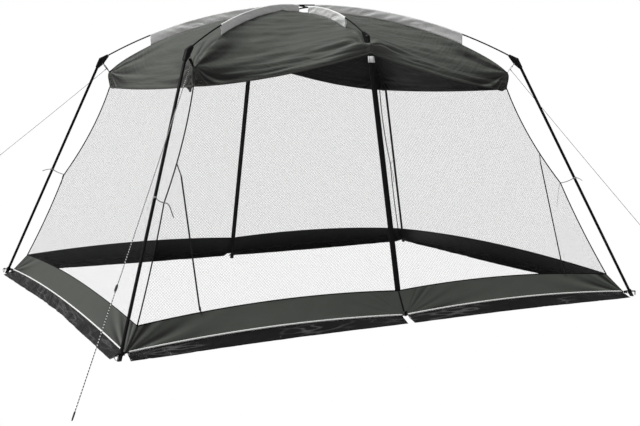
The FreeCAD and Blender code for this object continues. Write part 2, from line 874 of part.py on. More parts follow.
def sector(centre, side, direction, inner, outer, spread, width):
    # part of a ring in the upright plane: from inner to outer radius, within the spread each way
    start = FreeCAD.Rotation(side, -spread).multVec(direction)
    face = Part.Face(Part.makePolygon([
        centre + start * inner,
        centre + start * outer,
        centre + start * outer + side * width,
        centre + start * inner + side * width,
        centre + start * inner,
    ]))
    face.translate(side * (-width / 2))
    return face.revolve(centre, side, 2 * spread)


def guy_anchor(name):
    # where a guy line leaves the tab at the canopy's corner
    lug = lug_point(name)
    return lug + link_direction(name) * (LINK_LENGTH + TAB_EYE + GUY_ANCHOR)


def guy_direction(name):
    return (STAKES[name] - guy_anchor(name)).normalize()


def guy_radius(name):
    return FRONT_GUY_R if name == "front_left" else GUY_R


def make_tabs():
    tabs = []
    for name in CORNERS:
        side = UP.cross(outward(name))
        lug = lug_point(name)
        direction = link_direction(name)
        bow = LINK_LENGTH - WIRE_R - SEAT_GAP
        width = HUB_PLATE
        far = bow + TAB_EYE
        eye = sector(lug, side, direction, bow - TAB_WALL, far + TAB_WALL, TAB_SPREAD, width)
        wall_angle = math.degrees(TAB_WALL / bow)
        eye = eye.cut(sector(lug, side, direction, bow, far, TAB_SPREAD - wall_angle, 2 * width))
        length = (eave_point(name) - lug).Length - SEAT_GAP * 2 - far - TAB_WALL / 2
        root = lug + direction * (far + TAB_WALL / 2)
        normal = direction.cross(side)
        tongue = bar(root, direction, side, normal, length, width, -TAB_WALL / 2, TAB_WALL / 2)
        tab = eye.fuse(tongue)
        if name in STAKES:
            start = guy_anchor(name)
            end = start + guy_direction(name) * GUY_WHIPPING
            tab = tab.fuse(rod(start, end, guy_radius(name) + TAPE_WALL))
        tabs.append(tab.removeSplitter())
    save("canopy_tabs", tabs)


def make_ties():
    ties = []
    for name in CORNERS:
        radius = LEG_R + SEAT_GAP
        centre = leg_line(name, TIE_LEG_Z)
        axis = leg_axis(name)
        start = tie_point(name) + outward(name) * SEAT_GAP
        along = (centre - start).normalize()
        across = (UP - along * UP.dot(along)).normalize()
        normal = along.cross(across)
        half = axis * (TAPE_BAND / 2)
        tie = rod(centre - half, centre + half, radius + TAPE_WALL)
        low = -TAPE_WALL / 2
        high = TAPE_WALL / 2
        strip = bar(start, along, across, normal, (centre - start).Length, TAPE_BAND, low, high)
        tie = tie.fuse(strip)
        knot = mix(start, centre, TIE_KNOT_AT)
        tail = bar(knot, UP * -1, along, normal, TAIL_LENGTH, TAPE_BAND, low, high)
        tie = tie.fuse(tail)
        tie = tie.cut(rod(centre - axis * THROUGH, centre + axis * THROUGH, radius))
        ties.append(tie.removeSplitter())
    for name in MIDDLES:
        radius = MID_LEG_R + SEAT_GAP
        centre = leg_line(name, MID_HEM_Z - MID_WRAP_DOWN)
        half = leg_axis(name) * (MID_WRAP / 2)
        wrap = rod(centre - half, centre + half, radius + TAPE_WALL)
        ties.append(wrap.cut(rod(centre - half * 2, centre + half * 2, radius)))
    save("tie_tapes", ties)


def ring_pivot(name):
    if is_corner(name):
        centre = leg_line(name, RING_Z)
        return centre + outward(name) * (LEG_R + CAP_WALL + CORNER_RING_OUT)
    return skirt_point(name) + outward(name) * MID_RING_OUT + UP * (MID_RING_Z - MID_SKIRT_Z)


def make_rings():
    half = RING_WIDTH / 2
    shoulder = RING_DROP * RING_SHOULDER
    toe = half * RING_TOE
    outline = [(-half, 0), (half, 0), (half, shoulder)]
    outline += [(toe, RING_DROP), (-toe, RING_DROP), (-half, shoulder)]
    for name in RING:
        pivot = ring_pivot(name)
        side = UP.cross(outward(name))
        points = [pivot + side * across - UP * down for across, down in outline]
        save("peg_ring_" + name, wire_loop(points, RING_WIRE_R))


def make_webbing():
    straps = []
    bore = RING_WIRE_R + PIN_CLEARANCE
    for name in RING:
        pivot = ring_pivot(name)
        side = UP.cross(outward(name))
        reach = side * (STRAP_WIDTH / 2)
        tunnel = rod(pivot - reach, pivot + reach, bore + STRAP_THICK)
        strap = corner_strap(name, pivot, tunnel) if is_corner(name) else middle_strap(name, pivot, tunnel)
        strap = strap.cut(rod(pivot - side * RING_WIDTH, pivot + side * RING_WIDTH, bore))
        straps.append(strap)
    save("foot_webbing", straps)


def webbing(start, along, across, length):
    normal = along.cross(across)
    return bar(start, along, across, normal, length, STRAP_WIDTH, -STRAP_THICK / 2, STRAP_THICK / 2)


def corner_strap(name, pivot, tunnel):
    # from the skirt's corner round the leg's cap, then out to the pegging ring
    axis = leg_axis(name)
    out = outward(name)
    inner = LEG_R + SEAT_CLEARANCE + CAP_WALL + SEAT_GAP
    centre = leg_line(name, RING_Z)
    half = axis * (STRAP_WIDTH / 2)
    start = skirt_point(name) + (centre - skirt_point(name)).normalize() * STRAP_GAP
    along = (centre - start).normalize()
    across = (UP - along * UP.dot(along)).normalize()
    normal = along.cross(across)
    strap = tunnel.fuse(rod(centre - half, centre + half, inner + STRAP_THICK))
    strap = strap.fuse(webbing(start, along, across, (centre - start).Length))
    strap = strap.fuse(webbing(centre, out, UP.cross(out), (pivot - centre).Length))
    strap = strap.cut(rod(centre - axis * THROUGH, centre + axis * THROUGH, inner))
    hole = start + along * EYELET_AT
    print("eyelet %s at %s axis %s" % (name, [round(v, 3) for v in hole], [round(v, 6) for v in normal]))
    return strap.cut(rod(hole - normal * STRAP_THICK, hole + normal * STRAP_THICK, EYELET_R))


def middle_strap(name, pivot, tunnel):
    start = skirt_point(name) + outward(name) * STRAP_GAP
    along = (pivot - start).normalize()
    return tunnel.fuse(webbing(start, along, UP.cross(outward(name)), (pivot - start).Length))


# ---- guy lines ----------------------------------------------------------------------------------
def make_guys():
    for name, stake in STAKES.items():
        radius = guy_radius(name)
        along = guy_direction(name)
        start = guy_anchor(name) + along * GUY_WHIPPING
        if name == "front_left":
            end = stake - along * (TIP_LENGTH + TIP_R)
            cord = [rod(start, end, radius), rod(end, end + along * TIP_LENGTH, TIP_R)]
        else:
            end = start + along * (GUY_SEEN[name] - LOOP_R)
            across = along.cross(UP).normalize()
            ring = Part.makeTorus(LOOP_R, radius, end + along * LOOP_R, across)
            cord = [rod(start, end, radius).fuse(ring).removeSplitter()]
        run = (end - start).Length
        ratio = cord[0].Volume / (math.pi * radius ** 2 * run)
        measured = (name, run, radius, ratio)
        print("guy %s: one straight run of %.0f mm, radius %.1f, volume ratio %.3f" % measured)
        save("guy_line_" + name, cord)
    name = "front_left"
    along = guy_direction(name)
    centre = mix(guy_anchor(name), STAKES[name], TENSIONER_AT)
    across = along.cross(UP).normalize()
    normal = across.cross(along)
    start = centre - along * (TENSIONER_LENGTH / 2)
    high = TENSIONER_THICK / 2
    slab = bar(start, along, across, normal, TENSIONER_LENGTH, TENSIONER_WIDTH, -high, high)
    reach = along * TENSIONER_LENGTH
    bore = rod(centre - reach, centre + reach, FRONT_GUY_R + PIN_CLEARANCE)
    save("guy_tensioner", slab.cut(bore))


def facts():
    # joint positions and axes
    def show(label, point, axis):
        print("%-28s at %s axis %s" % (label, [round(v, 3) for v in point], [round(v, 6) for v in axis]))
    for panel in ("front_left", "front_right"):
        top, bottom, along, across, normal = zip_frame(panel)
        show("zip " + panel + " %.1f" % (top - bottom).Length, bottom, along)
        show("pull " + panel, zip_pivot(panel), across)
    for name in CORNERS:
        show("link " + name, lug_point(name), UP.cross(outward(name)))
    for name in RING:
        show("ring " + name, ring_pivot(name), UP.cross(outward(name)))
    for name, stake in STAKES.items():
        show("guy " + name, guy_anchor(name) + guy_direction(name) * GUY_WHIPPING, guy_direction(name))


make_legs()
make_caps()
make_hubs()
make_poles()
make_canopy()
make_sleeves()
make_walls()
make_skirts()
make_zips()
make_links()
make_tabs()
make_ties()
make_rings()
make_webbing()
make_guys()
facts()
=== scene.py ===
import math
import bmesh
import bpy
import numpy as np
from mathutils import Matrix, Vector, noise


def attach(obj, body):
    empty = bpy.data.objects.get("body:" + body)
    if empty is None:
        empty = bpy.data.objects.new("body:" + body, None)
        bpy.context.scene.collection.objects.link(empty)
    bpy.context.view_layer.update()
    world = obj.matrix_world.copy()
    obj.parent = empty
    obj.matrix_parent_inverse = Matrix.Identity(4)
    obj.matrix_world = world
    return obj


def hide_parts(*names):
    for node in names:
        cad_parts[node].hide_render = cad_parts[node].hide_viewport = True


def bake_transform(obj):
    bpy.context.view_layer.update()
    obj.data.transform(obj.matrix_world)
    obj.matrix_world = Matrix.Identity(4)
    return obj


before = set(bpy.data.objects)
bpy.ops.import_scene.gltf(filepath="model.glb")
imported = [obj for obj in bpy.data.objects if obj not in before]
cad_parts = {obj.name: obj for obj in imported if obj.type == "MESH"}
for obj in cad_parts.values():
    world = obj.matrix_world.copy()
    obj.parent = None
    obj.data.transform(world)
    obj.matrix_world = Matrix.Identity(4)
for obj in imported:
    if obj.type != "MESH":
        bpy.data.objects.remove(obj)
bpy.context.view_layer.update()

root = "shelter"
scene = bpy.context.scene
up = np.array([0.0, 0.0, 1.0])


cameraSetup = {"lens": 55.65, "place": (-3.513, -6.696, 1.456), "turn": -28.67, "tilt": 83.2, "roll": 0.28}


def addCamera():
    data = bpy.data.cameras.new("camera")
    data.lens = cameraSetup["lens"]
    data.sensor_width = 36
    data.sensor_fit = "HORIZONTAL"
    data.clip_start = 0.05
    data.clip_end = 200
    camera = bpy.data.objects.new("camera", data)
    scene.collection.objects.link(camera)
    turn = Matrix.Rotation(math.radians(cameraSetup["turn"]), 4, "Z")
    tilt = Matrix.Rotation(math.radians(cameraSetup["tilt"]), 4, "X")
    roll = Matrix.Rotation(math.radians(cameraSetup["roll"]), 4, "Z")
    camera.matrix_world = Matrix.Translation(cameraSetup["place"]) @ turn @ tilt @ roll
    scene.camera = camera


addCamera()


plan = {
    "foot": (1.935, 1.520), "midFootY": 1.375, "hub": (1.290, 0.922, 1.721), "midHub": (0.925, 1.845),
    "peakZ": 2.126, "poleStep": 0.0103, "legRadius": 0.010, "midLegRadius": 0.0125,
}
hem = {"corner": (1.235, 0.885, 1.505), "midZ": 1.735, "sag": 0.015, "curve": 1.5, "valance": 0.123,
       "tuck": 0.070}
ridge = {"drop": 0.054, "cornerEnd": 1.185, "midEnd": 0.630, "start": 0.085, "cornerRise": 0.021,
         "midRise": 0.039}
seam = {"tie": (1.535, 1.160, 0.820), "upperBow": 0.034, "lowerBow": 0.012, "midOffset": 0.0175}
skirt = {
    "top": (1.790, 1.400, 0.155), "low": (1.890, 1.482, 0.026), "midTopZ": 0.185, "midLow": (1.430, 0.035),
    "topLift": 0.038, "lift": 0.038, "sideLift": 0.014, "tuck": 0.022,
}
corners = {"rear_left": (-1, 1), "front_left": (-1, -1), "front_right": (1, -1), "rear_right": (1, 1)}
middles = {"front_middle": (0, -1), "rear_middle": (0, 1)}
ring = ["rear_left", "front_left", "front_middle", "front_right", "rear_right", "rear_middle"]
panels = {
    "left": ("rear_left", "front_left"), "front_left": ("front_left", "front_middle"),
    "front_right": ("front_middle", "front_right"), "right": ("front_right", "rear_right"),
    "rear_right": ("rear_right", "rear_middle"), "rear_left": ("rear_middle", "rear_left"),
}
poleTops = {
    "rear_left": 0, "front_right": 0, "front_left": 1, "rear_right": 1, "front_middle": 2, "rear_middle": 2,
}


def vec(x, y, z):
    return np.array([x, y, z], float)


def unit(v):
    return v / np.linalg.norm(v)


def mix(a, b, share):
    return a + (b - a) * share


def smooth(low, high, x):
    t = np.clip((x - low) / (high - low), 0.0, 1.0)
    return t * t * (3 - 2 * t)


def isCorner(name):
    return name in corners


def signed(name, x, y, z):
    sx, sy = corners[name] if isCorner(name) else middles[name]
    return vec(x * sx, y * sy, z)


def footOf(name):
    x, y = plan["foot"] if isCorner(name) else (0, plan["midFootY"])
    return signed(name, x, y, 0)


def hubOf(name):
    return signed(name, *plan["hub"]) if isCorner(name) else signed(name, 0, *plan["midHub"])


def outwardOf(name):
    hub = hubOf(name)
    return unit(vec(hub[0], hub[1], 0))


def sideOf(name):
    return np.cross(up, outwardOf(name))


def legRadius(name):
    return plan["legRadius"] if isCorner(name) else plan["midLegRadius"]


def legAt(name, z):
    hub = hubOf(name)
    return mix(footOf(name), hub, z / hub[2])


def legAxis(name):
    return unit(footOf(name) - hubOf(name))


def poleTop(name):
    return plan["peakZ"] - poleTops[name] * plan["poleStep"]


def poleHeight(name, reach):
    hub = hubOf(name)
    span = math.hypot(hub[0], hub[1])
    drop = poleTop(name) - hub[2]
    big = (span * span + drop * drop) / (2 * drop)
    return poleTop(name) - big + math.sqrt(big * big - reach * reach)


def poleAt(name, reach):
    return outwardOf(name) * reach + up * poleHeight(name, reach)


def sleeveEnd(name):
    return ridge["cornerEnd"] if isCorner(name) else ridge["midEnd"]


def ridgeAt(name, reach):
    end = sleeveEnd(name)
    rise = ridge["cornerRise"] if isCorner(name) else ridge["midRise"]
    power = 2 if isCorner(name) else 0.5
    depth = poleTop(name) - (plan["peakZ"] - ridge["drop"]) + rise * (max(reach, 0) / end) ** power
    return outwardOf(name) * reach + up * (poleHeight(name, reach) - depth)


def midSeam(name, z):
    return legAt(name, z) + outwardOf(name) * seam["midOffset"]


def hemPoint(name):
    return signed(name, *hem["corner"]) if isCorner(name) else midSeam(name, hem["midZ"])


def eavePoint(name):
    return hemPoint(name) + up * hem["valance"]


def skirtTopPoint(name):
    return signed(name, *skirt["top"]) if isCorner(name) else midSeam(name, skirt["midTopZ"])


def skirtPoint(name):
    return signed(name, *skirt["low"]) if isCorner(name) else signed(name, 0, *skirt["midLow"])


def panelOut(panel):
    start, end = panels[panel]
    run = hemPoint(end) - hemPoint(start)
    normal = unit(vec(run[1], -run[0], 0))
    return normal if normal @ hemPoint(start) > 0 else -normal


def isSide(panel):
    return panel in ("left", "right")


def hump(t):
    return 4 * t * (1 - t)


def hemAt(panel, t):
    start, end = panels[panel]
    point = mix(hemPoint(start), hemPoint(end), t)
    if isSide(panel):
        return point - up * hem["sag"] * hump(t)
    fromCorner = t if isCorner(start) else 1 - t
    point[2] = hem["corner"][2] + (hem["midZ"] - hem["corner"][2]) * fromCorner ** hem["curve"]
    return point


def eaveAt(panel, t):
    start, end = panels[panel]
    point = mix(eavePoint(start), eavePoint(end), t)
    point[2] = hemAt(panel, t)[2] + hem["valance"]
    return point - panelOut(panel) * hem["tuck"] * hump(t)


def skirtTopAt(panel, t):
    start, end = panels[panel]
    point = mix(skirtTopPoint(start), skirtTopPoint(end), t)
    lift = skirt["topLift"] + (skirt["sideLift"] if isSide(panel) else 0)
    tuck = 0 if isSide(panel) else skirt["tuck"]
    return point + up * lift * hump(t) - panelOut(panel) * tuck * hump(t)


def skirtLowAt(panel, t):
    start, end = panels[panel]
    point = mix(skirtPoint(start), skirtPoint(end), t)
    return point + up * (skirt["lift"] + (skirt["sideLift"] if isSide(panel) else 0)) * hump(t)


def seamPull(name, share):
    if not isCorner(name):
        return vec(0, 0, 0)
    top, low, tie = hemPoint(name), skirtTopPoint(name), signed(name, *seam["tie"])
    tieShare = (top[2] - tie[2]) / (top[2] - low[2])
    pull = tie - mix(top, low, tieShare)
    inward = -outwardOf(name)
    if share < tieShare:
        part = share / tieShare
        return pull * part + inward * seam["upperBow"] * hump(part)
    part = (share - tieShare) / (1 - tieShare)
    return pull * (1 - part) + inward * seam["lowerBow"] * hump(part)


def wallAt(panel, t, share):
    start, end = panels[panel]
    point = mix(hemAt(panel, t), skirtTopAt(panel, t), share)
    return point + seamPull(start, share) * (1 - t) ** 8 + seamPull(end, share) * t ** 8


def flapAt(panel, t, share, length):
    top = skirtLowAt(panel, t)
    reach = math.sqrt(max(length ** 2 - top[2] ** 2, 0))
    toe = top + panelOut(panel) * reach
    toe[2] = 0.0006
    return mix(top - up * 0.0004, toe, share)


def finishPiece(obj, body=root):
    if body:
        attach(obj, body)
    return obj


def linkMesh(name, verts, faces, materials, uvs=None, index=None, shade=True):
    data = bpy.data.meshes.new(name)
    data.from_pydata([tuple(v) for v in verts], [], faces)
    for material in materials:
        data.materials.append(material)
    if uvs is not None:
        layer = data.uv_layers.new(name="UVMap")
        loops = np.zeros(len(data.loops), np.int32)
        data.loops.foreach_get("vertex_index", loops)
        layer.data.foreach_set("uv", np.asarray(uvs, np.float32)[loops].ravel())
    if index is not None:
        data.polygons.foreach_set("material_index", index)
    data.polygons.foreach_set("use_smooth", [shade] * len(data.polygons))
    data.update()
    obj = bpy.data.objects.new(name, data)
    scene.collection.objects.link(obj)
    return obj


def weld(obj, distance=0.0001):
    work = bmesh.new()
    work.from_mesh(obj.data)
    bmesh.ops.remove_doubles(work, verts=work.verts, dist=distance)
    work.to_mesh(obj.data)
    work.free()
    obj.data.update()


def bake(obj):
    # modifiers become the mesh itself
    graph = bpy.context.evaluated_depsgraph_get()
    graph.update()
    data = bpy.data.meshes.new_from_object(obj.evaluated_get(graph), preserve_all_data_layers=True,
                                           depsgraph=graph)
    data.name = obj.name
    obj.modifiers.clear()
    obj.data = data


def gridFaces(rows, cols, offset=0, wrap=False):
    faces = []
    span = cols if wrap else cols - 1
    for i in range(rows - 1):
        for j in range(span):
            k = (j + 1) % cols
            here, below = offset + i * cols, offset + (i + 1) * cols
            faces.append((here + j, below + j, below + k, here + k))
    return faces


def gridLengths(points):
    # distances across and down a grid of points, in metres
    across = np.linalg.norm(np.diff(points, axis=1), axis=2)
    down = np.linalg.norm(np.diff(points, axis=0), axis=2)
    u = np.concatenate([np.zeros((points.shape[0], 1)), np.cumsum(across, axis=1)], axis=1)
    v = np.concatenate([np.zeros((1, points.shape[1])), np.cumsum(down, axis=0)], axis=0)
    return u - u[:, -1:] / 2, v


def gridNormals(points, outwards):
    along = np.gradient(points, axis=1)
    down = np.gradient(points, axis=0)
    normals = np.cross(along, down)
    normals /= np.maximum(np.linalg.norm(normals, axis=2, keepdims=True), 1e-12)
    centre = normals[points.shape[0] // 2, points.shape[1] // 2]
    return normals if centre @ outwards > 0 else -normals


def gridArea(points):
    a = points[1:, :-1] - points[:-1, :-1]
    b = points[:-1, 1:] - points[:-1, :-1]
    return float(np.linalg.norm(np.cross(a, b), axis=2).sum())


def crowdedEnds(count):
    # places from 0 to 1, closer together near both ends, where the folds are fine
    even = np.linspace(0, 1, count)
    return 0.35 * even + 0.65 * (0.5 - 0.5 * np.cos(math.pi * even))


def rough(point, scale, seed):
    return noise.noise(Vector(point * scale) + Vector((seed * 7.3, seed * 3.1, seed * 5.7)))


def cloth(name, grids, outwards, material, lining, thickness=0.0008, shades=None):
    # one welded piece of cloth from several grids, with its lining on the inside
    # shades are painted: positive values are painted shadow in the folds, negative values painted highlight,
    # one value for each point
    verts, faces, uvs = [], [], []
    for points, out in zip(grids, outwards):
        rows, cols = points.shape[:2]
        u, v = gridLengths(points)
        part = gridFaces(rows, cols, len(verts))
        below, beside = points[1:, :-1] - points[:-1, :-1], points[:-1, 1:] - points[:-1, :-1]
        if np.cross(below, beside).sum(axis=(0, 1)) @ out < 0:
            part = [face[::-1] for face in part]
        verts += list(points.reshape(-1, 3))
        faces += part
        uvs += list(np.stack([u, v], axis=2).reshape(-1, 2))
    obj = linkMesh(name, verts, faces, [material, lining], uvs)
    if shades is not None:
        layer = obj.data.attributes.new("foldShade", "FLOAT", "POINT")
        values = np.concatenate([shade.ravel() for shade in shades])
        layer.data.foreach_set("value", values.astype(np.float32))
    weld(obj)
    if thickness:
        shell = obj.modifiers.new("thickness", "SOLIDIFY")
        shell.thickness = thickness
        shell.offset = -1
        shell.use_rim = True
        shell.material_offset = 1
        shell.material_offset_rim = 0
        bake(obj)
    return obj


def frames(points):
    # a side direction carried along a line without twisting
    points = np.asarray(points, float)
    tangents = np.gradient(points, axis=0)
    tangents /= np.linalg.norm(tangents, axis=1, keepdims=True)
    first = np.cross(tangents[0], up)
    if np.linalg.norm(first) < 0.1:
        first = np.cross(tangents[0], vec(1, 0, 0))
    sides = [unit(first)]
    for tangent in tangents[1:]:
        side = sides[-1] - tangent * (sides[-1] @ tangent)
        sides.append(unit(side))
    return tangents, np.array(sides)


def tube(name, points, radius, material, sides=12, closed=False):
    points = np.asarray(points, float)
    tangents, across = frames(points)
    radii = np.broadcast_to(np.asarray(radius, float), (len(points),))
    verts, uvs = [], []
    run = 0.0
    for i, point in enumerate(points):
        run += np.linalg.norm(points[i] - points[i - 1]) if i else 0.0
        lift = np.cross(tangents[i], across[i])
        for k in range(sides):
            a = 2 * math.pi * k / sides
            verts.append(point + (across[i] * math.cos(a) + lift * math.sin(a)) * radii[i])
            uvs.append((run, k / sides))
    faces = gridFaces(len(points), sides, wrap=True)
    last = (len(points) - 1) * sides
    if closed:
        faces += [(last + k, k, (k + 1) % sides, last + (k + 1) % sides) for k in range(sides)]
    else:
        faces += [tuple(range(sides)), tuple(last + k for k in reversed(range(sides)))]
    faces = [face[::-1] for face in faces]
    return linkMesh(name, verts, faces, [material], uvs)


def strap(name, points, across, width, thickness, material):
    # flat tape with rounded edges along a line; across gives its width direction at each point
    points = np.asarray(points, float)
    tangents = unitRows(np.gradient(points, axis=0))
    across = np.broadcast_to(np.asarray(across, float), points.shape)
    verts, uvs = [], []
    half, t = width / 2, thickness / 2
    section = [(-half, 0), (-half + t, -t), (0, -t), (half - t, -t), (half, 0), (half - t, t), (0, t),
               (-half + t, t)]
    run = 0.0
    for i, point in enumerate(points):
        run += np.linalg.norm(points[i] - points[i - 1]) if i else 0.0
        side = across[i] - tangents[i] * (across[i] @ tangents[i])
        side = unit(side)
        lift = np.cross(tangents[i], side)
        for a, b in section:
            verts.append(point + side * a + lift * b)
            uvs.append((run, a))
    sides = len(section)
    last = (len(points) - 1) * sides
    faces = gridFaces(len(points), sides, wrap=True)
    faces += [tuple(range(sides)), tuple(last + k for k in reversed(range(sides)))]
    return linkMesh(name, verts, [face[::-1] for face in faces], [material], uvs)


def unitRows(rows):
    return rows / np.maximum(np.linalg.norm(rows, axis=-1, keepdims=True), 1e-12)


def newGroup(name, inputs, outputs):
    group = bpy.data.node_groups.new(name, "ShaderNodeTree")
    for label, kind, value in inputs:
        item = group.interface.new_socket(label, in_out="INPUT", socket_type=kind)
        if value is not None:
            item.default_value = value
    for label, kind in outputs:
        group.interface.new_socket(label, in_out="OUTPUT", socket_type=kind)
    return group, group.nodes.new("NodeGroupInput"), group.nodes.new("NodeGroupOutput")


def mathNode(tree, kind, a, b=None, c=None):
    node = tree.nodes.new("ShaderNodeMath")
    node.operation = kind
    for i, value in enumerate((a, b, c)):
        if value is None:
            continue
        if isinstance(value, (int, float)):
            node.inputs[i].default_value = value
        else:
            tree.links.new(value, node.inputs[i])
    return node.outputs[0]


def noiseNode(group, detail, vector, **values):
    node = group.nodes.new("ShaderNodeTexNoise")
    node.inputs["Detail"].default_value = detail
    for label, value in values.items():
        node.inputs[label].default_value = value
    group.links.new(vector, node.inputs["Vector"])
    return node


def weaveGroup():
    # plain weave from the UV map in metres: height, and a mask of the gaps between the threads
    inputs = [("Vector", "NodeSocketVector", None), ("Pitch", "NodeSocketFloat", 0.001)]
    outputs = [("Height", "NodeSocketFloat"), ("Gaps", "NodeSocketFloat")]
    group, gin, gout = newGroup("plainWeave", inputs, outputs)
    split = group.nodes.new("ShaderNodeSeparateXYZ")
    group.links.new(gin.outputs["Vector"], split.inputs[0])
    waves = []
    for axis in range(2):
        turns = mathNode(group, "DIVIDE", split.outputs[axis], gin.outputs["Pitch"])
        waves.append(mathNode(group, "SINE", mathNode(group, "MULTIPLY", turns, 2 * math.pi)))
    over = mathNode(group, "MULTIPLY", waves[0], waves[1])
    group.links.new(mathNode(group, "MULTIPLY_ADD", over, 0.5, 0.5), gout.inputs["Height"])
    gaps = mathNode(group, "GREATER_THAN", mathNode(group, "ABSOLUTE", over), 0.7)
    group.links.new(gaps, gout.inputs["Gaps"])
    return group


def crinkleGroup():
    # the fine creases left in coated cloth by folding and packing
    inputs = [("Vector", "NodeSocketVector", None), ("Size", "NodeSocketFloat", 9.0),
              ("Sharpness", "NodeSocketFloat", 0.5)]
    outputs = [("Height", "NodeSocketFloat"), ("Patches", "NodeSocketFloat")]
    group, gin, gout = newGroup("packedCreases", inputs, outputs)
    soft = noiseNode(group, 3, gin.outputs["Vector"], Distortion=0.6)
    group.links.new(gin.outputs["Size"], soft.inputs["Scale"])
    folds = group.nodes.new("ShaderNodeTexVoronoi")
    folds.feature = "DISTANCE_TO_EDGE"
    group.links.new(gin.outputs["Vector"], folds.inputs["Vector"])
    group.links.new(mathNode(group, "MULTIPLY", gin.outputs["Size"], 1.7), folds.inputs["Scale"])
    edge = mathNode(group, "SMOOTH_MIN", folds.outputs["Distance"], 0.12, 0.1)
    height = mathNode(group, "MULTIPLY_ADD", edge, gin.outputs["Sharpness"], soft.outputs["Fac"])
    group.links.new(height, gout.inputs["Height"])
    big = noiseNode(group, 2, gin.outputs["Vector"], Scale=2.2)
    group.links.new(big.outputs["Fac"], gout.inputs["Patches"])
    return group


def wearGroup():
    # scuffs and dust on hard pieces: a mask from the object's own coordinates
    inputs = [("Vector", "NodeSocketVector", None), ("Size", "NodeSocketFloat", 60.0)]
    outputs = [("Mask", "NodeSocketFloat"), ("Grain", "NodeSocketFloat")]
    group, gin, gout = newGroup("scuffs", inputs, outputs)
    coarse = noiseNode(group, 5, gin.outputs["Vector"], Roughness=0.65)
    group.links.new(gin.outputs["Size"], coarse.inputs["Scale"])
    ramp = group.nodes.new("ShaderNodeMapRange")
    ramp.inputs["From Min"].default_value = 0.52
    ramp.inputs["From Max"].default_value = 0.75
    group.links.new(coarse.outputs["Fac"], ramp.inputs["Value"])
    group.links.new(ramp.outputs[0], gout.inputs["Mask"])
    grain = noiseNode(group, 2, gin.outputs["Vector"])
    group.links.new(mathNode(group, "MULTIPLY", gin.outputs["Size"], 14.0), grain.inputs["Scale"])
    group.links.new(grain.outputs["Fac"], gout.inputs["Grain"])
    return group


def drawnGroup():
    # long shallow folds that run across a stretched panel
    group, gin, gout = newGroup("drawnFolds", [("Vector", "NodeSocketVector", None)],
                                [("Height", "NodeSocketFloat")])
    total = None
    for stretch, weight in (((2.4, 20.0, 1.0), 0.6), ((5.0, 52.0, 1.0), 0.4)):
        scale = group.nodes.new("ShaderNodeVectorMath")
        scale.operation = "MULTIPLY"
        scale.inputs[1].default_value = stretch
        group.links.new(gin.outputs["Vector"], scale.inputs[0])
        lines = noiseNode(group, 2, scale.outputs[0], Scale=1.0, Distortion=0.35)
        part = mathNode(group, "MULTIPLY", lines.outputs["Fac"], weight)
        total = part if total is None else mathNode(group, "ADD", total, part)
    group.links.new(total, gout.inputs["Height"])
    return group


groups = {"weave": weaveGroup(), "creases": crinkleGroup(), "wear": wearGroup(), "folds": drawnGroup()}


def startMaterial(name):
    material = bpy.data.materials.new(name)
    material.use_nodes = True
    tree = material.node_tree
    shader = tree.nodes["Principled BSDF"]
    return material, tree, shader


def useGroup(tree, key, vector, **values):
    node = tree.nodes.new("ShaderNodeGroup")
    node.node_tree = groups[key]
    tree.links.new(vector, node.inputs["Vector"])
    for label, value in values.items():
        node.inputs[label].default_value = value
    return node


def mixColour(tree, factor, a, b):
    node = tree.nodes.new("ShaderNodeMix")
    node.data_type = "RGBA"
    for socket, value in ((node.inputs["Factor"], factor), (node.inputs[6], a), (node.inputs[7], b)):
        if isinstance(value, (tuple, list)):
            socket.default_value = (*value, 1.0)
        elif isinstance(value, (int, float)):
            socket.default_value = value
        else:
            tree.links.new(value, socket)
    return node.outputs[2]


def bumpNode(tree, height, strength, distance, normal=None):
    node = tree.nodes.new("ShaderNodeBump")
    node.inputs["Strength"].default_value = strength
    node.inputs["Distance"].default_value = distance
    tree.links.new(height, node.inputs["Height"])
    if normal is not None:
        tree.links.new(normal, node.inputs["Normal"])
    return node.outputs[0]


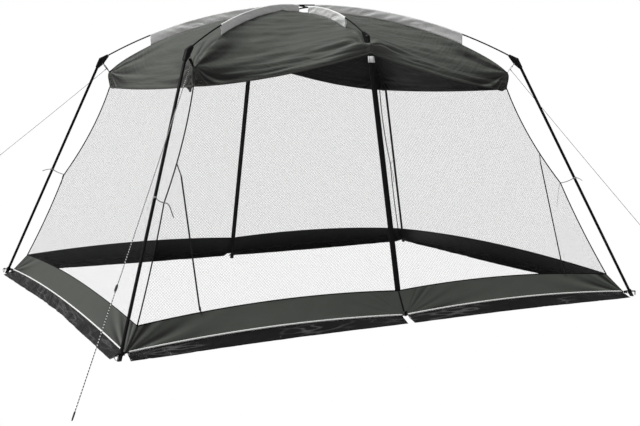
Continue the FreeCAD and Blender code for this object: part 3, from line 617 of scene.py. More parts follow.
def clothMaterial(name, look, inside=None):
    material, tree, shader = startMaterial(name)
    coords = tree.nodes.new("ShaderNodeTexCoord")
    weave = useGroup(tree, "weave", coords.outputs["UV"], Pitch=look["pitch"])
    creases = useGroup(tree, "creases", coords.outputs["Object"], Size=look["creaseSize"],
                       Sharpness=look["creaseSharp"])
    darker = tuple(c * 0.72 for c in look["colour"])
    base = mixColour(tree, mathNode(tree, "MULTIPLY", weave.outputs["Gaps"], 0.5), look["colour"], darker)
    lighter = tuple(min(c * 1.18 + 0.004, 1) for c in look["colour"])
    base = mixColour(tree, mathNode(tree, "MULTIPLY", creases.outputs["Patches"], 0.5), base, lighter)
    # painted shade and highlight: the foldShade attribute darkens the base colour in the hollows of the folds
    # and lightens it on their crests and on the flap's glints
    if look.get("foldShading"):
        held = tree.nodes.new("ShaderNodeAttribute")
        held.attribute_name = "foldShade"
        hollowShade = mathNode(tree, "MULTIPLY", held.outputs["Fac"], look["foldShading"])
        crestLight = mathNode(tree, "MULTIPLY", held.outputs["Fac"], -look["foldShading"] * 0.6)
        dark = mathNode(tree, "MAXIMUM", hollowShade, 0.0)
        light = mathNode(tree, "MAXIMUM", crestLight, 0.0)
        base = mixColour(tree, mathNode(tree, "MINIMUM", dark, 0.9), base,
                         tuple(c * 0.16 for c in look["colour"]))
        crestHighlight = look.get("crestHighlight", tuple(min(c * 1.9, 1) for c in look["colour"]))
        base = mixColour(tree, mathNode(tree, "MINIMUM", light, 0.8), base, crestHighlight)
    if inside:
        facing = tree.nodes.new("ShaderNodeNewGeometry")
        base = mixColour(tree, facing.outputs["Backfacing"], base, inside)
    tree.links.new(base, shader.inputs["Base Color"])
    shader.inputs["Roughness"].default_value = look["roughness"]
    shader.inputs["Specular IOR Level"].default_value = look["gloss"]
    shader.inputs["Sheen Weight"].default_value = look["sheen"]
    shader.inputs["Sheen Roughness"].default_value = 0.45
    normal = bumpNode(tree, creases.outputs["Height"], look["creaseDepth"], 0.006)
    if look.get("drawn"):
        folds = useGroup(tree, "folds", coords.outputs["UV"])
        normal = bumpNode(tree, folds.outputs["Height"], look["drawn"], 0.022, normal)
    normal = bumpNode(tree, weave.outputs["Height"], 0.35, look["pitch"] * 0.4, normal)
    tree.links.new(normal, shader.inputs["Normal"])
    if look.get("glow"):
        # painted light: a weak even glow stands in for light that comes through thin pale cloth
        shader.inputs["Emission Color"].default_value = (1, 1, 1, 1)
        shader.inputs["Emission Strength"].default_value = look["glow"]
    return material


def hardMaterial(name, look):
    material, tree, shader = startMaterial(name)
    coords = tree.nodes.new("ShaderNodeTexCoord")
    wear = useGroup(tree, "wear", coords.outputs["Object"], Size=look["wearSize"])
    base = mixColour(tree, mathNode(tree, "MULTIPLY", wear.outputs["Mask"], look["wear"]), look["colour"],
                     look["worn"])
    tree.links.new(base, shader.inputs["Base Color"])
    shader.inputs["Metallic"].default_value = look["metal"]
    shader.inputs["Specular IOR Level"].default_value = look.get("gloss", 0.5)
    roughness = mathNode(tree, "MULTIPLY_ADD", wear.outputs["Grain"], 0.18, look["roughness"] - 0.09)
    tree.links.new(roughness, shader.inputs["Roughness"])
    tree.links.new(bumpNode(tree, wear.outputs["Grain"], look["grain"], 0.0006), shader.inputs["Normal"])
    return material


def netMaterial(name, look):
    # knitted netting: crossed threads, with every second one a little heavier
    material, tree, shader = startMaterial(name)
    coords = tree.nodes.new("ShaderNodeTexCoord")
    split = tree.nodes.new("ShaderNodeSeparateXYZ")
    tree.links.new(coords.outputs["UV"], split.inputs[0])
    u, v = split.outputs[0], split.outputs[1]
    sums = [mathNode(tree, "ADD", u, v), mathNode(tree, "SUBTRACT", u, v)]
    threads = []
    for line in sums:
        for pitch, width, solid in ((look["pitch"], look["thread"], 1.0),
                                    (look["pitch"] * look["every"], look["heavy"], look["heavySolid"])):
            turns = mathNode(tree, "FRACT", mathNode(tree, "DIVIDE", line, pitch))
            away = mathNode(tree, "ABSOLUTE", mathNode(tree, "SUBTRACT", turns, 0.5))
            threads.append(mathNode(tree, "MULTIPLY", mathNode(tree, "LESS_THAN", away, width / pitch / 2),
                                    solid))
    mask = threads[0]
    for thread in threads[1:]:
        mask = mathNode(tree, "MAXIMUM", mask, thread)
    shader.inputs["Base Color"].default_value = (*look["colour"], 1)
    shader.inputs["Roughness"].default_value = 0.7
    shader.inputs["Sheen Weight"].default_value = 0.2
    tree.links.new(mask, shader.inputs["Alpha"])
    return material


def cordMaterial(name, dark, light, twist, share):
    # braided line with a light fleck that winds round it
    material, tree, shader = startMaterial(name)
    coords = tree.nodes.new("ShaderNodeTexCoord")
    split = tree.nodes.new("ShaderNodeSeparateXYZ")
    tree.links.new(coords.outputs["Object"], split.inputs[0])
    turns = mathNode(tree, "DIVIDE", split.outputs[2], twist)
    winding = mathNode(tree, "ADD", turns, mathNode(tree, "MULTIPLY", split.outputs[0], 1.6 / twist))
    fleck = mathNode(tree, "LESS_THAN", mathNode(tree, "FRACT", winding), share)
    tree.links.new(mixColour(tree, fleck, dark, light), shader.inputs["Base Color"])
    shader.inputs["Roughness"].default_value = 0.6
    braid = mathNode(tree, "SINE", mathNode(tree, "MULTIPLY", turns, 9.0))
    tree.links.new(bumpNode(tree, braid, 0.5, 0.0005), shader.inputs["Normal"])
    return material


roofCloth = {"colour": (0.078, 0.084, 0.073), "pitch": 0.0011, "creaseSize": 7.0, "creaseSharp": 0.4,
             "creaseDepth": 0.35, "roughness": 0.50, "gloss": 0.4, "sheen": 0.05}
materials = {
    "canopy": clothMaterial("canopyCloth", {**roofCloth, "drawn": 0.45, "foldShading": 1.0},
                            inside=(0.016, 0.016, 0.0165)),
    # the skirt is the same cloth as the roof; its colour is painted darker than the roof's, as painted shade
    # on the low walls
    "skirt": clothMaterial("skirtCloth", {**roofCloth, "foldShading": 1.0, "colour": (0.068, 0.074, 0.064),
                                          "roughness": 0.52, "creaseSize": 11.0}),
    "lining": clothMaterial("blackCoating", {**roofCloth, "colour": (0.016, 0.016, 0.0165), "roughness": 0.42,
                                             "sheen": 0.04, "creaseDepth": 0.45}),
    # the sleeve's glow is painted light
    "sleeve": clothMaterial("sleeveCloth", {**roofCloth, "colour": (0.82, 0.83, 0.82), "roughness": 0.5,
                                            "creaseSize": 12.0, "creaseDepth": 0.35, "glow": 0.06}),
    # the flap's crease glints are painted highlights, in the light grey given last in this entry
    "flap": clothMaterial("flapCloth", {**roofCloth, "colour": (0.005, 0.005, 0.005), "roughness": 0.23,
                                        "gloss": 0.55, "sheen": 0.0, "creaseSize": 14.0, "creaseSharp": 1.0,
                                        "creaseDepth": 0.7, "foldShading": 1.0, "crestHighlight": (0.13, 0.13, 0.13)}),
    "binding": clothMaterial("binding", {**roofCloth, "gloss": 0.15, "sheen": 0.0,
                                         "colour": (0.006, 0.006, 0.006), "roughness": 0.6, "pitch": 0.0016,
                                         "creaseDepth": 0.1}),
    "webbing": clothMaterial("webbing", {**roofCloth, "gloss": 0.15, "sheen": 0.0,
                                         "colour": (0.006, 0.006, 0.006), "roughness": 0.62, "pitch": 0.0022,
                                         "creaseDepth": 0.1}),
    # the piping's glow is painted light as well
    "piping": clothMaterial("piping", {**roofCloth, "glow": 0.12, "colour": (0.80, 0.81, 0.79),
                                       "roughness": 0.5, "pitch": 0.0014, "creaseDepth": 0.15}),
    "thread": clothMaterial("thread", {**roofCloth, "colour": (0.030, 0.031, 0.028), "pitch": 0.0006,
                                       "creaseDepth": 0.05}),
    "net": netMaterial("netting", {"colour": (0.03, 0.03, 0.03), "pitch": 0.0032, "thread": 0.00011,
                                   "every": 6, "heavy": 0.0058, "heavySolid": 0.15}),
    "legSteel": hardMaterial("powderCoat", {"colour": (0.005, 0.005, 0.0052), "worn": (0.012, 0.012, 0.012),
                                            "wear": 0.3, "wearSize": 30.0, "metal": 0.0,
                                            "gloss": 0.18, "roughness": 0.42, "grain": 0.06}),
    "plastic": hardMaterial("mouldedPlastic", {"colour": (0.006, 0.006, 0.0065),
                                               "worn": (0.022, 0.022, 0.022), "wear": 0.4, "wearSize": 80.0,
                                               "metal": 0.0, "gloss": 0.22, "roughness": 0.5, "grain": 0.2}),
    "rubber": hardMaterial("rubber", {"colour": (0.012, 0.012, 0.012), "worn": (0.08, 0.075, 0.07),
                                      "wear": 0.4, "wearSize": 90.0, "metal": 0.0, "roughness": 0.75,
                                      "grain": 0.5}),
    "fibreglass": hardMaterial("fibreglass", {"colour": (0.006, 0.006, 0.006), "worn": (0.02, 0.02, 0.02),
                                              "wear": 0.3, "wearSize": 45.0, "metal": 0.0,
                                              "gloss": 0.15, "roughness": 0.42, "grain": 0.08}),
    "ribbon": clothMaterial("tieRibbon", {**roofCloth, "colour": (0.36, 0.36, 0.355), "roughness": 0.6,
                                          "pitch": 0.0009, "creaseDepth": 0.1}),
    # the plating's colour is set darker than the light metal really is: painted shade for the small rings
    # that sit in shadow
    "plate": hardMaterial("platedWire", {"colour": (0.34, 0.34, 0.33), "worn": (0.16, 0.155, 0.15),
                                         "wear": 0.6, "wearSize": 120.0, "metal": 1.0, "roughness": 0.34,
                                         "grain": 0.2}),
    "zipMetal": hardMaterial("enamelledZinc", {"colour": (0.02, 0.02, 0.02), "worn": (0.35, 0.33, 0.30),
                                               "wear": 0.5, "wearSize": 200.0, "metal": 0.4,
                                               "roughness": 0.35, "grain": 0.15}),
    "frontCord": cordMaterial("reflectiveCord", (0.004, 0.004, 0.004), (0.80, 0.80, 0.78), 0.024, 0.38),
    "greyCord": cordMaterial("greyCord", (0.016, 0.016, 0.016), (0.05, 0.05, 0.05), 0.012, 0.3),
}
print("materials ready")


guyLines = {
    "front_left": {"start": (-1.257192, -0.903712, 1.643506), "along": (-0.46558, -0.597964, -0.652437),
                   "length": 2.470, "radius": 0.0025, "sag": 0.006, "look": "frontCord", "end": "fitting"},
    "rear_left": {"start": (-1.260538, 0.900004, 1.643868), "along": (-0.704567, 0.333136, -0.626583),
                  "length": 1.084, "radius": 0.0015, "sag": 0.003, "look": "greyCord", "end": "knot"},
    "front_right": {"start": (1.255935, -0.902982, 1.642156), "along": (0.375795, -0.545872, -0.748867),
                    "length": 1.484, "radius": 0.0015, "sag": 0.004, "look": "greyCord", "end": "knot"},
}
guyEnds = {
    "loop": 0.016, "lash": 0.020, "lashBack": 0.012, "lashStand": 0.0012, "lashTurns": 8,
    "lashThread": 0.0007, "whipping": 0.026, "whippingBack": 0.030, "whippingStand": 0.0010,
    "whippingTurns": 12, "whippingThread": 0.0008, "tip": 0.045,
}
tipProfile = (
    (-0.1, 0.0027), (-0.06, 0.0034), (0.0, 0.004), (0.3, 0.004), (0.8, 0.0036), (0.95, 0.0028), (1.0, 0.0012),
)
tensionerLook = {
    "at": 0.70, "anchorBack": 0.014, "stake": (-2.430, -2.410, 0), "length": 0.041, "halfWidth": 0.0066,
    "halfHeight": 0.0043, "rows": 22, "around": 20, "endSize": 0.55, "middleGain": 0.45, "endRound": 0.4,
    "ribs": 6, "ribDepth": 0.05, "square": 0.6,
}


def addGuy(name):
    look = guyLines[name]
    start, along = vec(*look["start"]), vec(*look["along"])
    curve = bpy.data.curves.new("guyLine_" + name, "CURVE")
    curve.dimensions = "3D"
    curve.bevel_depth = look["radius"]
    curve.bevel_resolution = 3
    curve.resolution_u = 10
    curve.use_fill_caps = True
    spline = curve.splines.new("NURBS")
    shares = (0, 0.2, 0.4, 0.6, 0.8, 1)
    spline.points.add(len(shares) - 1)
    for point, share in zip(spline.points, shares):
        spot = start + along * look["length"] * share - up * look["sag"] * hump(share)
        point.co = (*spot, 1)
    spline.order_u = 3
    spline.use_endpoint_u = True
    curve.materials.append(materials[look["look"]])
    obj = bpy.data.objects.new("guyLine_" + name, curve)
    scene.collection.objects.link(obj)
    finishPiece(obj)
    far = start + along * look["length"]
    lash = coilPath(start - along * guyEnds["lashBack"], along, look["radius"] + guyEnds["lashStand"],
                    guyEnds["lash"], guyEnds["lashTurns"])
    pieces = [tube("guyWhipping_" + name, lash, guyEnds["lashThread"], materials["thread"], 6)]
    if look["end"] == "fitting":
        points = [far + along * guyEnds["tip"] * share for share, radius in tipProfile]
        radii = [radius for share, radius in tipProfile]
        pieces.append(tube("guyTip_" + name, points, radii, materials["plastic"], 14))
    else:
        side = unit(np.cross(along, up))
        lift = np.cross(side, along)
        centre = far + along * guyEnds["loop"]
        turns = [2 * math.pi * k / 36 for k in range(36)]
        eye = [centre + (-along * math.cos(a) + lift * math.sin(a)) * guyEnds["loop"] for a in turns]
        pieces.append(tube("guyEye_" + name, eye, look["radius"], materials[look["look"]], 8, closed=True))
        bind = coilPath(far - along * guyEnds["whippingBack"], along,
                        look["radius"] + guyEnds["whippingStand"], guyEnds["whipping"],
                        guyEnds["whippingTurns"])
        pieces.append(tube("guyBinding_" + name, bind, guyEnds["whippingThread"], materials[look["look"]], 6))
    for piece in pieces:
        finishPiece(piece)
        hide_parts("guy_line_" + name)
    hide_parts("guy_line_" + name)


def coilPath(start, along, radius, length, turns):
    side = unit(np.cross(along, up))
    lift = np.cross(side, along)
    perTurn = 12
    count = turns * perTurn
    angles = [2 * math.pi * k / perTurn for k in range(count + 1)]
    return [start + along * length * k / count + (side * math.cos(a) + lift * math.sin(a)) * radius
            for k, a in enumerate(angles)]


def addTensioner():
    look = tensionerLook
    start, along = vec(*guyLines["front_left"]["start"]), vec(*guyLines["front_left"]["along"])
    anchor = start - along * look["anchorBack"]
    centre = mix(anchor, vec(*look["stake"]), look["at"])
    side = unit(np.cross(along, up))
    lift = np.cross(side, along)
    verts = []
    rows, sides = look["rows"], look["around"]
    for i in range(rows):
        share = i / (rows - 1)
        within = min(max(share, 0.03), 0.97)
        taper = look["endSize"] + look["middleGain"] * math.sin(math.pi * within) ** look["endRound"]
        ribs = 1 + look["ribDepth"] * math.cos(share * 2 * math.pi * look["ribs"])
        for k in range(sides):
            a = 2 * math.pi * k / sides
            c, s = math.cos(a), math.sin(a)
            x = math.copysign(abs(c) ** look["square"], c) * look["halfWidth"] * taper * ribs
            y = math.copysign(abs(s) ** look["square"], s) * look["halfHeight"] * taper
            verts.append(centre + along * (share - 0.5) * look["length"] + side * x + lift * y)
    faces = [face[::-1] for face in gridFaces(rows, sides, wrap=True)]
    faces += [tuple(reversed(range(sides))), tuple((rows - 1) * sides + k for k in range(sides))]
    obj = linkMesh("tensioner", verts, faces, [materials["plastic"]])
    faceOutward(obj)
    finishPiece(obj, "guy_tensioner_body")
    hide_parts("guy_tensioner")


def faceOutward(obj):
    work = bmesh.new()
    work.from_mesh(obj.data)
    bmesh.ops.recalc_face_normals(work, faces=work.faces)
    work.to_mesh(obj.data)
    work.free()


for line in guyLines:
    addGuy(line)
addTensioner()
print("guy lines done")


def runTree():
    # small rounded shapes repeated along a path, lying along it or across it
    tree = bpy.data.node_groups.new("repeatAlongPath", "GeometryNodeTree")
    sockets = {}
    for label, kind in (("Path", "Geometry"), ("Pitch", "Float"), ("Length", "Float"), ("Radius", "Float"),
                        ("Across", "Vector"), ("AlongPath", "Bool"), ("Material", "Material")):
        item = tree.interface.new_socket(label, in_out="INPUT", socket_type="NodeSocket" + kind)
        sockets[label] = item.identifier
    tree.interface.new_socket("Geometry", in_out="OUTPUT", socket_type="NodeSocketGeometry")
    gin, gout = tree.nodes.new("NodeGroupInput"), tree.nodes.new("NodeGroupOutput")
    link = tree.links.new
    toCurve = tree.nodes.new("GeometryNodeMeshToCurve")
    link(gin.outputs["Path"], toCurve.inputs[0])
    sample = tree.nodes.new("GeometryNodeResampleCurve")
    sample.mode = "LENGTH"
    link(toCurve.outputs[0], sample.inputs["Curve"])
    link(gin.outputs["Pitch"], sample.inputs["Length"])
    bead = tree.nodes.new("GeometryNodeMeshUVSphere")
    bead.inputs["Segments"].default_value = 6
    bead.inputs["Rings"].default_value = 4
    bead.inputs["Radius"].default_value = 1.0
    size = tree.nodes.new("ShaderNodeCombineXYZ")
    link(gin.outputs["Radius"], size.inputs[0])
    link(gin.outputs["Radius"], size.inputs[1])
    link(mathNode(tree, "MULTIPLY", gin.outputs["Length"], 0.5), size.inputs[2])
    tangent = tree.nodes.new("GeometryNodeInputTangent")
    pick = tree.nodes.new("GeometryNodeSwitch")
    pick.input_type = "VECTOR"
    link(gin.outputs["AlongPath"], pick.inputs["Switch"])
    link(gin.outputs["Across"], pick.inputs["False"])
    link(tangent.outputs[0], pick.inputs["True"])
    jitter = tree.nodes.new("FunctionNodeRandomValue")
    jitter.data_type = "FLOAT_VECTOR"
    jitter.inputs["Min"].default_value = (-0.06, -0.06, -0.06)
    jitter.inputs["Max"].default_value = (0.06, 0.06, 0.06)
    jitter.inputs["Seed"].default_value = 7
    add = tree.nodes.new("ShaderNodeVectorMath")
    add.operation = "ADD"
    link(pick.outputs[0], add.inputs[0])
    link(jitter.outputs[0], add.inputs[1])
    align = tree.nodes.new("FunctionNodeAlignEulerToVector")
    align.axis = "Z"
    link(add.outputs[0], align.inputs["Vector"])
    place = tree.nodes.new("GeometryNodeInstanceOnPoints")
    link(sample.outputs[0], place.inputs["Points"])
    link(bead.outputs["Mesh"], place.inputs["Instance"])
    link(align.outputs[0], place.inputs["Rotation"])
    link(size.outputs[0], place.inputs["Scale"])
    real = tree.nodes.new("GeometryNodeRealizeInstances")
    link(place.outputs[0], real.inputs[0])
    paint = tree.nodes.new("GeometryNodeSetMaterial")
    link(real.outputs[0], paint.inputs["Geometry"])
    link(gin.outputs["Material"], paint.inputs["Material"])
    link(paint.outputs[0], gout.inputs[0])
    return tree, sockets


repeatTree, repeatSockets = runTree()


def repeated(name, paths, pitch, length, radius, material, across=None, body=root):
    verts, edges = [], []
    for path in paths:
        offset = len(verts)
        verts += [tuple(p) for p in path]
        edges += [(offset + k, offset + k + 1) for k in range(len(path) - 1)]
    data = bpy.data.meshes.new(name)
    data.from_pydata(verts, edges, [])
    obj = bpy.data.objects.new(name, data)
    scene.collection.objects.link(obj)
    modifier = obj.modifiers.new("repeat", "NODES")
    modifier.node_group = repeatTree
    modifier[repeatSockets["Pitch"]] = pitch
    modifier[repeatSockets["Length"]] = length
    modifier[repeatSockets["Radius"]] = radius
    modifier[repeatSockets["Across"]] = tuple(across) if across is not None else (0.0, 0.0, 1.0)
    modifier[repeatSockets["AlongPath"]] = across is None
    modifier[repeatSockets["Material"]] = material
    bake(obj)
    return finishPiece(obj, body)


canopyLook = {
    "rows": 120, "cols": 120, "cornerFold": 0.0080, "cornerReach": 0.13, "cornerWaves": 27.0,
    "middleFold": 0.0085, "middleReach": 0.40, "middlePitch": 0.066, "sag": 0.0080, "crumple": 0.0026,
    "streak": 0.0115, "fineStreak": 0.0036, "hubDip": 0.080, "cornerDip": 0.006, "slackAt": 0.060,
    "cornerShade": 300, "middleShade": 34, "slackShade": 34,
    "cornerSlack": {("left", "front_left"): 0.034, ("front_left", "front_left"): 0.0,
                    ("right", "front_right"): 0.012},
    "slackWidth": 0.045, "hubWidth": 0.075, "hubIn": 0.030, "hubUp": 0.020,
}
roofShares = (0, 0.25, 0.5, 0.75, 1.0)


def splineRows(controls, rows, weights):
    # rows of a smooth sheet: through the control rows at the ridges, softer between them
    count = len(controls)
    steps = np.linalg.norm(np.diff(controls, axis=0), axis=2)
    run = np.concatenate([np.zeros((1, controls.shape[1])), np.cumsum(steps, axis=0)])
    slopes = np.empty_like(controls)
    slopes[1:-1] = (controls[2:] - controls[:-2]) / (run[2:] - run[:-2])[:, :, None]
    slopes[0] = (controls[1] - controls[0]) / run[1][:, None] * vec(1, 1, 0.35)
    slopes[-1] = (controls[-1] - controls[-2]) / (run[-1] - run[-2])[:, None]
    padded = np.concatenate([controls[:1] * 2 - controls[1:2], controls, controls[-1:] * 2 - controls[-2:-1]])
    result = []
    for i in range(rows):
        share = i / (rows - 1)
        r = (count - 1) * (0.6 * share + 0.4 * (1 - (1 - share) ** 2))
        k = min(int(r), count - 2)
        x = r - k
        span = (run[k + 1] - run[k])[:, None]
        through = ((2 * x ** 3 - 3 * x ** 2 + 1) * controls[k] + (x ** 3 - 2 * x ** 2 + x) * span * slopes[k]
                   + (3 * x ** 2 - 2 * x ** 3) * controls[k + 1] + (x ** 3 - x ** 2) * span * slopes[k + 1])
        soft = ((1 - x) ** 3 * padded[k] + (3 * x ** 3 - 6 * x ** 2 + 4) * padded[k + 1]
                + (-3 * x ** 3 + 3 * x ** 2 + 3 * x + 1) * padded[k + 2] + x ** 3 * padded[k + 3]) / 6
        result.append(through * weights[:, None] + soft * (1 - weights[:, None]))
    return np.array(result)


def seamFolds(points, corner, sideways, inward, look, kind):
    # wrinkles that run out from where the cloth is held
    q = points - corner
    d = np.linalg.norm(q, axis=2)
    x, y = q @ sideways, q @ inward
    if kind == "corner":
        angle = np.arctan2(x, y)
        swirl = angle * look["cornerWaves"] + 0.5 * d / look["cornerReach"]
        pinched = 1 - 2 * np.abs(np.sin(swirl / 2 + 0.5)) ** 0.75
        wave = pinched + 0.45 * np.sin(swirl * 1.7 + 0.4)
        fade = np.exp(-d / look["cornerReach"])
        return look["cornerFold"] * (d / 0.1) * wave * fade * smooth(0.01, 0.04, d)
    wave = np.sin(2 * math.pi * y / look["middlePitch"] + 3 * x)
    return look["middleFold"] * wave * np.exp(-np.abs(x) / look["middleReach"]) * np.exp(-np.abs(y) / 0.24)


def canopyPanel(panel):
    start, end = panels[panel]
    look = canopyLook
    ts = crowdedEnds(look["cols"])
    first = [ridgeAt(start, sleeveEnd(start) * share) for share in roofShares]
    last = [ridgeAt(end, sleeveEnd(end) * share) for share in roofShares]
    controls = [[mix(a, b, t) for t in ts] for a, b in zip(first, last)]
    controls.append([eaveAt(panel, t) for t in ts])
    controls.append([hemAt(panel, t) for t in ts])
    holdStart = (1.0 if isCorner(start) else 0.55) * (1 - smooth(0, 0.3, ts))
    holdEnd = (1.0 if isCorner(end) else 0.55) * (1 - smooth(0, 0.3, 1 - ts))
    points = splineRows(np.array(controls), look["rows"], np.maximum(holdStart, holdEnd))
    points[-1] = np.array(controls[-1])
    out = panelOut(panel)
    normals = gridNormals(points, out + up)
    damp = (smooth(0, 0.03, ts) * smooth(0, 0.03, 1 - ts))[None, :]
    rows = np.linspace(0, 1, look["rows"])[:, None]
    shift = np.zeros(points.shape[:2])
    shade = np.zeros(points.shape[:2])
    for i in range(points.shape[0]):
        for j in range(points.shape[1]):
            p = points[i, j]
            u, v = ts[j] * 1.3, i / look["rows"] * 1.5
            shift[i, j] = look["sag"] * rough(p, 1.7, 1) + look["crumple"] * rough(p, 7.5, 2)
            shift[i, j] += look["streak"] * rough(vec(u * 2.6, v * 13, 0), 1.0, 31 + len(panel))
            shift[i, j] += look["fineStreak"] * rough(vec(u * 5, v * 30, 0), 1.0, 51 + len(panel))
    for name, other in ((start, end), (end, start)):
        sideways = unit(hemPoint(other) - hemPoint(name))
        inward = unit(ridgeAt(name, sleeveEnd(name) * 0.75) - eavePoint(name))
        kind = "corner" if isCorner(name) else "middle"
        folds = seamFolds(points, eavePoint(name), sideways, inward, look, kind)
        shift += folds
        # painted shade in the hollows of the folds and painted highlight on their crests, carried in
        # foldShade
        shade -= folds * (look["cornerShade"] if kind == "corner" else look["middleShade"])
    points = points + normals * (shift * damp * smooth(0, 0.12, rows))[:, :, None]
    for name in (start, end):
        if isCorner(name):
            # a little slack hangs beside the corner
            alongHem = unit(hemPoint(end if name == start else start) - hemPoint(name))
            slack = hemPoint(name) + alongHem * look["slackAt"]
            near = np.exp(-(np.linalg.norm(points - slack, axis=2) / look["slackWidth"]) ** 2)
            near = near * smooth(0, 0.03, np.minimum(ts, 1 - ts))[None, :]
            dip = look["cornerSlack"].get((panel, name), look["cornerDip"])
            points = points - near[:, :, None] * up * dip
            # the slack's dip is painted darker as well: painted shade
            shade += near * dip * look["slackShade"]
        else:
            # the hub comes through here and holds the cloth down
            socket = hubOf(name) - outwardOf(name) * look["hubIn"] + up * look["hubUp"]
            near = np.exp(-(np.linalg.norm(points - socket, axis=2) / look["hubWidth"]) ** 2)
            points = points - near[:, :, None] * (up * look["hubDip"])
    return points, shade


canopyGrids, canopyShades = zip(*[canopyPanel(panel) for panel in panels])
canopyOut = [panelOut(panel) + up for panel in panels]
canopy = cloth("canopyCloth", canopyGrids, canopyOut, materials["canopy"], materials["lining"], 0,
               canopyShades)
finishPiece(canopy)
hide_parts("canopy")


sleeveLook = {"stations": 150, "across": 19, "radius": 0.0068, "pucker": 0.0115, "foot": 0.0012,
              "overPole": 0.4, "tremor": 0.0012}


def addSleeve(name):
    end = sleeveEnd(name)
    side = sideOf(name)
    look = sleeveLook
    grid = []
    for i in range(look["stations"]):
        reach = mix(ridge["start"], end, i / (look["stations"] - 1))
        pole = poleAt(name, reach)
        foot = ridgeAt(name, reach)
        height = np.linalg.norm(pole - foot)
        row = []
        for k in range(look["across"]):
            x = k / (look["across"] - 1) * 2 - 1
            flank = math.copysign(1, x)
            away = abs(x)
            if away < look["overPole"]:
                turn = x / look["overPole"] * math.pi / 2
                spot = pole + (side * math.sin(turn) + up * math.cos(turn)) * look["radius"]
            else:
                down = (away - look["overPole"]) / (1 - look["overPole"])
                width = mix(look["radius"], look["foot"], down ** 0.8)
                spot = mix(pole, foot, down) + side * flank * width
                wave = rough(vec(reach * 17 + down * 2.6, flank * 4, down), 1.0, 5)
                wave = wave + 0.3 * rough(vec(reach * 44 + down * 3, flank * 3, 0), 1.0, 8)
                swell = math.sin(math.pi * min(down * 1.05, 1))
                spot = spot + side * flank * look["pucker"] * wave * swell * (0.6 + height * 6)
            if away < 0.9:
                spot = spot + up * look["tremor"] * rough(vec(reach * 22, 1, 2), 1.0, 3)
            row.append(spot)
        grid.append(row)
    grid = np.array(grid)
    obj = cloth("sleeve_" + name, [grid], [up], materials["sleeve"], materials["sleeve"], 0.0006)
    finishPiece(obj)
    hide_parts("pole_sleeves")


for name in ring:
    addSleeve(name)
print("sleeves done")


wallLook = {
    "rows": 34, "cols": 46, "billow": 0.009, "seamRadius": 0.0042, "bandWidth": 0.034,
    # the netting lies flat behind a zip's slider
    "zipX": 1.400, "flatBesideZip": 0.045, "fullBesideZip": 0.14,
}


def addWall(panel):
    look = wallLook
    ts, shares = np.linspace(0, 1, look["cols"]), np.linspace(0, 1, look["rows"])
    points = np.array([[wallAt(panel, t, share) for t in ts] for share in shares])
    normals = gridNormals(points, panelOut(panel))
    damp = smooth(0, 0.15, ts) * smooth(0, 0.15, 1 - ts)
    down = smooth(0, 0.12, shares) * smooth(0, 0.12, 1 - shares)
    for i in range(look["rows"]):
        for j in range(look["cols"]):
            billow = look["billow"] * rough(points[i, j], 1.5, 4) * damp[j] * down[i]
            if panel in ("front_left", "front_right"):
                fromZip = abs(abs(points[i, j][0]) - look["zipX"])
                billow *= smooth(look["flatBesideZip"], look["fullBesideZip"], fromZip)
            points[i, j] += normals[i, j] * billow
    obj = cloth("netWall_" + panel, [points], [panelOut(panel)], materials["net"], materials["net"], 0)
    finishPiece(obj)
    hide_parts("mesh_wall_" + panel)
    print("wall %s area %.3f" % (panel, gridArea(points)))


for panel in panels:
    addWall(panel)


skirtLook = {
    "rows": 26, "cols": 130, "cornerFold": 0.0060, "cornerReach": 0.12, "cornerWaves": 31.0,
    "crumple": 0.0024, "cornerShade": 420,
    "middlePull": {"front_left": 0.18, "front_right": 0.85, "rear_left": 0.6, "rear_right": 0.3},
    "middleSteepest": (0.45, 0.95),
}
flapLook = {
    "length": 0.086, "cornerTrim": 0.014, "midTrim": 0.019, "rows": 24, "cols": 170, "crumple": 0.0055,
    "crease": 0.0030, "glint": 1.3, "glintLift": 0.0014,
}


def addSkirt(panel):
    look = skirtLook
    start, end = panels[panel]
    ts, shares = crowdedEnds(look["cols"]), np.linspace(0, 1, look["rows"])
    points = np.array([[mix(skirtTopAt(panel, t), skirtLowAt(panel, t), share) for t in ts]
                       for share in shares])
    normals = gridNormals(points, panelOut(panel))
    shift = np.zeros(points.shape[:2])
    shade = np.zeros(points.shape[:2])
    for i in range(look["rows"]):
        for j in range(look["cols"]):
            shift[i, j] = look["crumple"] * rough(points[i, j], 9, 11)
    for name, other in ((start, end), (end, start)):
        sideways = unit(skirtTopPoint(other) - skirtTopPoint(name))
        inward = unit(skirtTopPoint(name) - skirtPoint(name))
        folds = seamFolds(points, skirtPoint(name), sideways, inward, look, "corner")
        if not isCorner(name):  # only a few slanting folds beside a middle seam
            angle = np.arctan2((points - skirtPoint(name)) @ sideways, (points - skirtPoint(name)) @ inward)
            slanting = smooth(*look["middleSteepest"], angle) * (0.6 + 0.4 * np.sin(9 * angle + 1))
            folds *= look["middlePull"][panel] * slanting
        shift += folds
        # painted shade in the hollows of the folds and painted highlight on their crests, carried in
        # foldShade
        shade -= folds * look["cornerShade"]
    damp = smooth(0, 0.012, ts) * smooth(0, 0.012, 1 - ts)
    down = smooth(0, 0.14, shares) * smooth(0, 0.14, 1 - shares)
    points = points + normals * (shift * damp[None, :] * down[:, None])[:, :, None]
    obj = cloth("skirtPanel_" + panel, [points], [panelOut(panel)], materials["skirt"], materials["lining"],
                shades=[shade])
    finishPiece(obj)
    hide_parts("skirt_" + panel)


def trimOf(name):
    return flapLook["midTrim"] if not isCorner(name) else flapLook["cornerTrim"]


